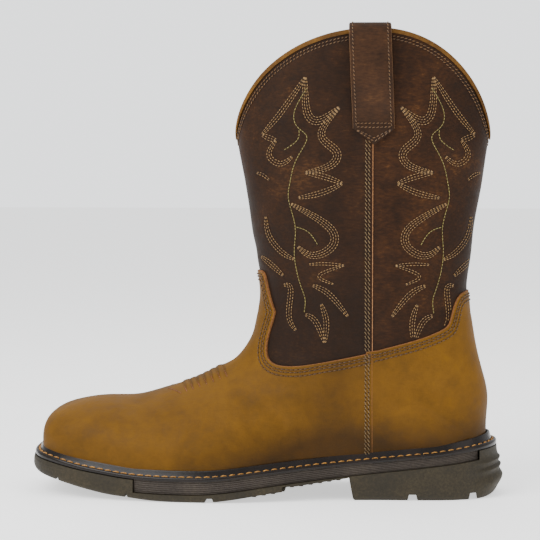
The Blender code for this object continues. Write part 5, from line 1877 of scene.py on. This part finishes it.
class BOOT_OT_straps(bpy.types.Operator):
    """Two standing pull straps with cut edges"""

    bl_idname = "boot.straps"
    bl_label = "Pull straps"

    def execute(self, context):
        look = finishes()
        for side, node in ((-1, "pull_strap_lateral"), (1, "pull_strap_medial")):
            grid, normals = strap_grid(side)
            rows, columns = grid.shape[:2]
            across = np.abs(np.linspace(-1, 1, columns))
            half = (STRAP_THICK / 2 * (1 - STRAP_EDGE_THIN * across**14))[None, :, None]
            outer, inner = (grid + normals * half).reshape(-1, 3), (grid - normals * half).reshape(-1, 3)
            corners = np.array((0, 1, columns + 1, columns))
            quads = [(k * columns + c + corners).tolist() for k in range(rows - 1) for c in range(columns - 1)]
            a, b, d = (outer[quads[0][k]] for k in (0, 1, 3))
            if np.dot(np.cross(b - a, d - a), normals[0, 0]) < 0:
                quads = [quad[::-1] for quad in quads]
            count = rows * columns
            border = list(range(columns)) + [k * columns + columns - 1 for k in range(1, rows)]
            border += [(rows - 1) * columns + c for c in range(columns - 2, -1, -1)]
            border += [k * columns for k in range(rows - 2, 0, -1)]
            rim_points, rim_faces = [], []
            middle = grid.reshape(-1, 3)
            centre = grid[:, columns // 2]
            for i in border:
                out = middle[i] - centre[i // columns]
                out = out / max(np.linalg.norm(out), 1e-9)
                rim_points += [outer[i], middle[i] + out * STRAP_EDGE_BULGE, inner[i]]
            total = len(border)
            for i in range(total):
                here, there = 3 * i, 3 * ((i + 1) % total)
                for step in (0, 1):
                    rim_faces.append([here + step, there + step, there + step + 1, here + step + 1])
            turned = [[i + count for i in quad[::-1]] for quad in quads]
            sheets = [(np.vstack((outer, inner)), quads + turned, 0),
                      (np.array(rim_points), faced(rim_points, rim_faces), 1)]
            piece = add_piece("pull_strap_" + node.split("_")[-1] + "_leather", sheets,
                              [look["strap"], look["strap_edge"]], [node])
            tip = float(grid[:, :, 2].min())
            # Painted shade darkens the strap towards its point.
            set_painted_shade(piece, lambda points, low=tip: 0.5 * soft_step(1 - (points[:, 2] - low) / SHADE_STRAP))
        return {"FINISHED"}


class BOOT_OT_welt(bpy.types.Operator):
    """Storm welt: lip, stitch groove and rim"""

    bl_idname = "boot.welt"
    bl_label = "Storm welt"

    def execute(self, context):
        knots = len(WELT_SECTION) - 1
        curve = smooth(np.arange(knots), WELT_SECTION[:knots], np.linspace(0, knots - 1, WELT_FINE))
        section = [tuple(row) for row in curve] + [WELT_SECTION[-1]]
        rows = loop_rows(SOLE_STEP)
        points = []
        for inset, high in section:
            loop = outline_loop(rows, inset * WELT_SHELF)
            z = seat(loop[:, 0]) + GAP + high * welt_height(loop[:, 0])
            points.append(np.column_stack((loop, z)))
        faces = ring_faces(len(section), len(points[0]), close=True)
        joined = np.vstack(points)
        faces = turned_out(joined, faces, len(points[0]))
        add_piece("storm_welt", [(joined, faces, 0)], [finishes()["welt"]], ["welt"])
        return {"FINISHED"}


def turned_out(points, faces, count):
    """Faces of a ring round the sole, turned so that the first ring's faces look away from the boot."""
    a, b, c = (points[faces[0][k]] for k in range(3))
    middle = points[:count].mean(0)
    return faces if np.dot(np.cross(b - a, c - a), a - middle) > 0 else [face[::-1] for face in faces]


def turned_solid(name, rings, step):
    """Points and faces of a stack of rings, with all faces turned outward."""
    solid = scratch_solid(name, *sole_stack(rings, loop_rows(step)))
    points = np.array([v.co for v in solid.data.vertices])
    faces = [list(polygon.vertices) for polygon in solid.data.polygons]
    bpy.data.objects.remove(solid)
    return points, faces


class BOOT_OT_midsole(bpy.types.Operator):
    """Midsole band with its moulded lines"""

    bl_idname = "boot.midsole"
    bl_label = "Midsole"

    def execute(self, context):
        lines = sizes().midsole_lines
        rings = [(BUMPER_WALL, seat)]
        for k in range(4 * lines + 1):
            share = k / (4 * lines)
            deep = LINE_DEEP if k % 4 == 2 else 0.0

            def inset(x, deep=deep):
                along = sole_share(x)
                shown = (along > BAND_FROM) & (along < BAND_TO)
                return np.where(shown, MIDSOLE_INSET + deep, BUMPER_WALL + GAP)

            def level(x, share=share):
                return seat(x) + (midsole_bottom(x) - seat(x)) * share

            rings.append((inset, level))
        rings.append((BUMPER_WALL, midsole_bottom))
        parts = [(*turned_solid("midsole_form", rings, SOLE_STEP), 0)]
        add_piece("midsole_band", parts, [finishes()["midsole"]], ["midsole"], 35)
        return {"FINISHED"}


class BOOT_OT_outsole(bpy.types.Operator):
    """Rubber outsole and heel in one, with lugs, arch steps and heel ribs"""

    bl_idname = "boot.outsole"
    bl_label = "Outsole"

    def execute(self, context):
        points, faces = outsole_solid()
        add_piece("outsole_unit", [(points, faces, 0)], [finishes()["outsole"]], ["outsole"], 32)
        return {"FINISHED"}


class BOOT_OT_insole(bpy.types.Operator):
    """Cushioned footbed inside the boot"""

    bl_idname = "boot.insole"
    bl_label = "Footbed"

    def execute(self, context):
        inset = FEATHER_INSET + UPPER_WALL + INSOLE_CLEAR
        rings = []
        for step, high in FOOTBED_SECTION:
            def level(x, high=high):
                return seat(x) + GAP + INSOLE_THICK * high
            rings.append((inset + step, level))
        parts = [(*turned_solid("footbed_form", rings, FOOTBED_STEP), 0)]
        add_piece("cushioned_footbed", parts, [finishes()["footbed"]], ["insole"])
        return {"FINISHED"}


def add_stitches(name, spots, pitch, radius, material):
    """One piece of thread at places a pitch apart, made as its row of the stitch table says."""
    share, thickness, slant = STITCHES[name]
    points, faces = thread_mesh(spots, pitch * share, radius * thickness, slant)
    add_piece(name, [(points, faces, 0)], [finishes()[material]])


def add_holes(name, groups):
    """One piece of needle-hole discs, their painted shadow, from groups of (places, pitch, size)."""
    parts = [(*hole_mesh(spots, pitch, size), 0) for spots, pitch, size in groups]
    add_piece(name, parts, [finishes()["hole"]])


class BOOT_OT_foot_stitching(bpy.types.Operator):
    """Rows along the overlays' top edges, the side seam, the pleats and the welt"""

    bl_idname = "boot.foot_stitching"
    bl_label = "Foot stitching"

    def execute(self, context):
        thread = sizes().seam_thread
        vamp, _, top, seam = foot_panels()
        add_stitches("overlay_stitches", top, EDGE_PITCH, thread, "foot_thread")
        add_stitches("foot_seam_stitches", seam, SEAM_PITCH, thread, "seam_thread")
        add_stitches("pleat_stitches", pleat_places(vamp.face), PLEAT_PITCH, thread, "pleat_thread")
        add_holes("foot_needle_holes", [(top, EDGE_PITCH, EDGE_HOLE), (seam, SEAM_PITCH, FOOT_SEAM_HOLE)])
        rows = loop_rows(GROOVE_STEP)
        loop = outline_loop(rows, GROOVE_SHARE * WELT_SHELF)
        z = seat(loop[:, 0]) + GAP + GROOVE_LEVEL * welt_height(loop[:, 0])
        along = loop_along(loop)
        out = unit(np.column_stack((along[:, 1], -along[:, 0])))
        normal = unit(np.column_stack((out * GROOVE_TILT, np.ones(len(loop)))))
        line = np.hstack((np.column_stack((loop, z)), normal))
        pitch = sizes().welt_pitch
        spots = spaced(np.vstack((line, line[:1])), pitch)
        add_stitches("welt_stitches", spots, pitch, sizes().welt_thread, "welt_thread")
        add_holes("welt_needle_holes", [(spots, pitch, WELT_HOLE)])
        return {"FINISHED"}


def pleat_places(sheet):
    """Stitch places of the toe's pleats: a zigzag under each pleat's ends and a curve before them."""
    tree = sheet.tree()
    pitch = (PLEAT_TO - PLEAT_FROM) / PLEAT_COUNT
    found = []
    for side in (-1, 1):
        for k in range(PLEAT_COUNT + 1):
            x = PLEAT_FROM + pitch * k + PLEAT_LEAN * PLEAT_REACH * 0.75
            line = [(x + sway * pitch, PLEAT_REACH * reach) for sway, reach in PLEAT_ZIGZAG]
            found.append(ridge_line(tree, line, side))
        start, wide = BUG_START, BUG_WIDE
        curve = [(PLEAT_FROM - start + wide * t, PLEAT_REACH * (0.4 + 0.62 * t)) for t in np.linspace(0, 1, 12)]
        found.append(ridge_line(tree, curve, side))
    spots = [spaced(line, PLEAT_PITCH) for line in found if line is not None]
    return np.vstack(spots)


def ridge_line(tree, places, side):
    """Points and normals on the vamp at (distance from the toe, distance down from the ridge) places."""
    rows = np.arange(*RIDGE_ROWS)
    ridge = np.array([half_section(row, 1, np.array([1.0]))[0] for row in rows])
    fine = []
    for (x0, d0), (x1, d1) in zip(places, places[1:]):
        for t in np.linspace(0, 1, 8, endpoint=False):
            fine.append((x0 + (x1 - x0) * t, d0 + (d1 - d0) * t))
    line = []
    for x, down in fine:
        crest = [float(np.interp(x - HEEL_FROM_TOE, ridge[:, 0], ridge[:, k])) for k in range(3)]
        angle = down / RIDGE_RADIUS
        far = 2 * RIDGE_RADIUS
        start = Vector((crest[0], crest[1] + side * far * math.sin(angle),
                        crest[2] + far * math.cos(angle) - RIDGE_RADIUS))
        centre = Vector((crest[0], crest[1], crest[2] - RIDGE_RADIUS))
        hit = tree.ray_cast(start, (centre - start).normalized())
        if hit[0] is not None:
            normal = hit[1] if hit[1].dot(start - centre) > 0 else -hit[1]
            line.append((*hit[0], *normal))
    return np.array(line) if len(line) > 3 else None


class BOOT_OT_shaft_stitching(bpy.types.Operator):
    """Scrolls, stems, side seams, collar rows and the straps' rows"""

    bl_idname = "boot.shaft_stitching"
    bl_label = "Shaft stitching"

    def execute(self, context):
        fine, thread = sizes().fine_thread, sizes().seam_thread
        _, _, _, seam, rim = shaft_panels()
        rows, stems = scroll_rows()
        straps = np.vstack([strap_lines(side) for side in (-1, 1)])
        add_stitches("scroll_stitches", rows, SCROLL_PITCH, fine, "pale_thread")
        add_stitches("stem_stitches", stems, STEM_PITCH, fine, "stem_thread")
        add_stitches("side_seam_stitches", seam, SEAM_PITCH, thread, "seam_thread")
        add_stitches("collar_stitches", rim, COLLAR_PITCH, thread, "brown_thread")
        add_stitches("strap_stitches", straps, STRAP_PITCH, thread, "brown_thread")
        add_holes("shaft_needle_holes", [(seam, SEAM_PITCH, SHAFT_HOLE), (rim, COLLAR_PITCH, SHAFT_HOLE),
                                         (straps, STRAP_PITCH, SHAFT_HOLE), (rows, SCROLL_PITCH, SCROLL_HOLE)])
        return {"FINISHED"}


class BOOT_OT_stage(bpy.types.Operator):
    """Paper floor, softboxes and the camera at the photograph's place"""

    bl_idname = "boot.stage"
    bl_label = "Stage"

    def execute(self, context):
        scene = context.scene
        shape = bmesh.new()
        bmesh.ops.create_grid(shape, x_segments=24, y_segments=24, size=FLOOR_SIZE)
        mesh = bpy.data.meshes.new("paper_floor")
        shape.to_mesh(mesh)
        shape.free()
        mesh.materials.append(finishes()["paper"])
        floor = bpy.data.objects.new("paper_floor", mesh)
        scene.collection.objects.link(floor)
        for name, power, size, place in SOFTBOXES:
            lamp = bpy.data.lights.new(name, "AREA")
            lamp.energy = getattr(scene.boot_light, power)
            lamp.size = size
            stand = bpy.data.objects.new(name, lamp)
            stand.location = place
            stand.rotation_euler = (BOOT_MIDDLE - Vector(place)).to_track_quat("-Z", "Y").to_euler()
            scene.collection.objects.link(stand)
        world = bpy.data.worlds.new("white_studio")
        world.use_nodes = True
        tree = world.node_tree
        seen = add_node(tree, "ShaderNodeLightPath").outputs["Is Camera Ray"]
        strength = add_node(tree, "ShaderNodeMapRange", {"Value": seen, "To Min": WORLD_STRENGTH,
                                                         "To Max": BACKDROP_STRENGTH}).outputs["Result"]
        tree.nodes["Background"].inputs["Color"].default_value = (*hex_colour("#f6f8fa"), 1)
        tree.links.new(strength, tree.nodes["Background"].inputs["Strength"])
        scene.world = world
        camera = bpy.data.cameras.new("camera")
        camera.lens = CAMERA_LENS
        holder = bpy.data.objects.new("camera", camera)
        holder.location = CAMERA_PLACE
        holder.rotation_euler = (CAMERA_AIM - CAMERA_PLACE).to_track_quat("-Z", "Y").to_euler()
        scene.collection.objects.link(holder)
        scene.camera = holder
        return {"FINISHED"}


PIECES = (BOOT_OT_shaft, BOOT_OT_foot, BOOT_OT_binding, BOOT_OT_straps, BOOT_OT_welt, BOOT_OT_midsole,
          BOOT_OT_outsole, BOOT_OT_insole, BOOT_OT_foot_stitching, BOOT_OT_shaft_stitching, BOOT_OT_stage)


class BOOT_PT_pieces(bpy.types.Panel):
    """The boot's pieces and sizes"""

    bl_idname = "BOOT_PT_pieces"
    bl_label = "Western Boot"
    bl_space_type = "VIEW_3D"
    bl_region_type = "UI"
    bl_category = "Western Boot"

    def draw(self, context):
        scene = context.scene
        for group in (scene.boot_stitching, scene.boot_colours, scene.boot_light):
            for name in group.__annotations__:
                self.layout.prop(group, name)
        for piece in PIECES:
            self.layout.operator(piece.bl_idname)


CLASSES = (BootStitching, BootColours, BootLight, *PIECES, BOOT_PT_pieces)


def register():
    """Make the properties, operators and panel known."""
    for item in CLASSES:
        bpy.utils.register_class(item)
    bpy.types.Scene.boot_stitching = PointerProperty(type=BootStitching)
    bpy.types.Scene.boot_colours = PointerProperty(type=BootColours)
    bpy.types.Scene.boot_light = PointerProperty(type=BootLight)


def unregister():
    """Take them back."""
    del bpy.types.Scene.boot_light
    del bpy.types.Scene.boot_colours
    del bpy.types.Scene.boot_stitching
    for item in reversed(CLASSES):
        bpy.utils.unregister_class(item)


def main():
    """Build every piece and the stage."""
    register()
    for piece in PIECES:
        group, name = piece.bl_idname.split(".")
        getattr(getattr(bpy.ops, group), name)()


if __name__ == "__main__":
    main()
